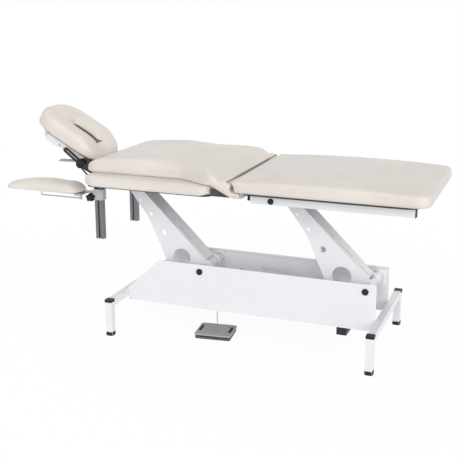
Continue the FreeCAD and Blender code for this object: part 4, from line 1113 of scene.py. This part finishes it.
def coilTie(setup, centre):
    # Band round the stack of turns: a stadium in the plane of the radius and the vertical.
    turn = np.linspace(0.0, 2.0 * math.pi, setup["steps"] + 1)[:-1]
    across = setup["radius"] * np.cos(turn) + np.sign(np.cos(turn)) * setup["half"]
    up = setup["radius"] * np.sin(turn) + np.sign(np.sin(turn)) * setup["tall"]
    cosAzimuth, sinAzimuth = math.cos(setup["azimuth"]), math.sin(setup["azimuth"])
    outward = np.array([cosAzimuth, sinAzimuth, 0.0])
    along = np.array([-sinAzimuth, cosAzimuth, 0.0]) * 0.5 * setup["width"]
    upward = np.array([0.0, 0.0, 1.0])
    middle = (np.array([*centre, setup["height"]]) + setup["out"] * outward
              + across[:, None] * outward + up[:, None] * upward)
    normal = (np.cos(turn)[:, None] * outward + np.sin(turn)[:, None] * upward) * 0.5 * setup["sheet"]
    section = np.stack([-normal - along, -normal + along, normal + along, normal - along], axis=1)
    points, faces = tubeAlong(middle, section)
    points = points / 1000.0
    points[:, 0] += originShift
    return points, faces


addForms("coilTie", [coilTie(tieSetup, cordSetup["centre"])], finish["black"], "base")

# Mains inlet: three pins in the recess, and a screw near each corner of the box's end.
inletSetup = {"x": 446.5, "places": ((-47.0, 103.0), (-33.0, 103.0), (-40.0, 108.0)),
              "pin": ((-1.0, -3.5), (1.0, -3.5), (1.0, 3.5), (-1.0, 3.5)),
              "length": 11.0, "bevel": 0.4}
pins = [bevelledPlate(inletSetup["pin"], (inletSetup["x"], y, z), facingX,
                      inletSetup["length"], inletSetup["bevel"])
        for y, z in inletSetup["places"]]
addForms("inletPins", pins, finish["steel"], "base")

boxScrewSetup = {"x": 461.0, "sides": (-90.0, 10.0), "heights": (82.0, 130.0),
                 "radius": 3.0, "height": 1.8}
boxScrews = [capScrew(placeOf((boxScrewSetup["x"], y, z)), (1.0, 0.0, 0.0),
                      boxScrewSetup["radius"], boxScrewSetup["height"])
             for y in boxScrewSetup["sides"] for z in boxScrewSetup["heights"]]
addForms("boxScrews", boxScrews, finish["steel"], "base")
print("pedal, cord ends and hips dressed")

# The rear hinge's stop is lower than the front one, so it stays below the cushion's far edge.
stopSetup = {"node": "head_hinge_rear", "over": 0.776, "from": -0.625, "to": 0.778}


def lowerStop(setup):
    # Points over the height and past the place come down to the new height.
    mesh = frame["nodes"][setup["node"]].data.copy()
    points = coordinatesOf(mesh)
    high = (points[:, 2] > setup["over"]) & (points[:, 0] > setup["from"])
    points[high, 2] = np.minimum(points[high, 2], setup["to"])
    setCoordinates(mesh, points)
    piece = addObject("hingeStop.rear", mesh, finish["blackSteel"], "back",
                      smooth=False)
    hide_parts(setup["node"])


lowerStop(stopSetup)

# The release loop is longer and wider at its tip than its CAD form, and hangs a little lower.
leverSetup = {"node": "head_lever", "from": -0.690, "longer": 0.34, "lower": 0.085,
              "middle": -0.093, "wider": 0.7, "reach": 0.090}


def stretchLever(setup):
    # Beyond the start, the way along grows by the share "longer", the height falls by "lower"
    # times that way, and the distance from the loop's middle grows by up to "wider".
    mesh = frame["nodes"][setup["node"]].data.copy()
    x, y, z = coordinatesOf(mesh).T.copy()
    way = np.clip(setup["from"] - x, 0.0, None)
    wider = 1.0 + setup["wider"] * smoothStep(way, 0.0, setup["reach"])
    y = setup["middle"] + (y - setup["middle"]) * wider
    setCoordinates(mesh, np.column_stack([x - setup["longer"] * way, y, z - setup["lower"] * way]))
    piece = addObject("releaseLoop", mesh, finish["chrome"], "head_lever")
    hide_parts(setup["node"])


stretchLever(leverSetup)
print("hinge stop and release loop shaped")
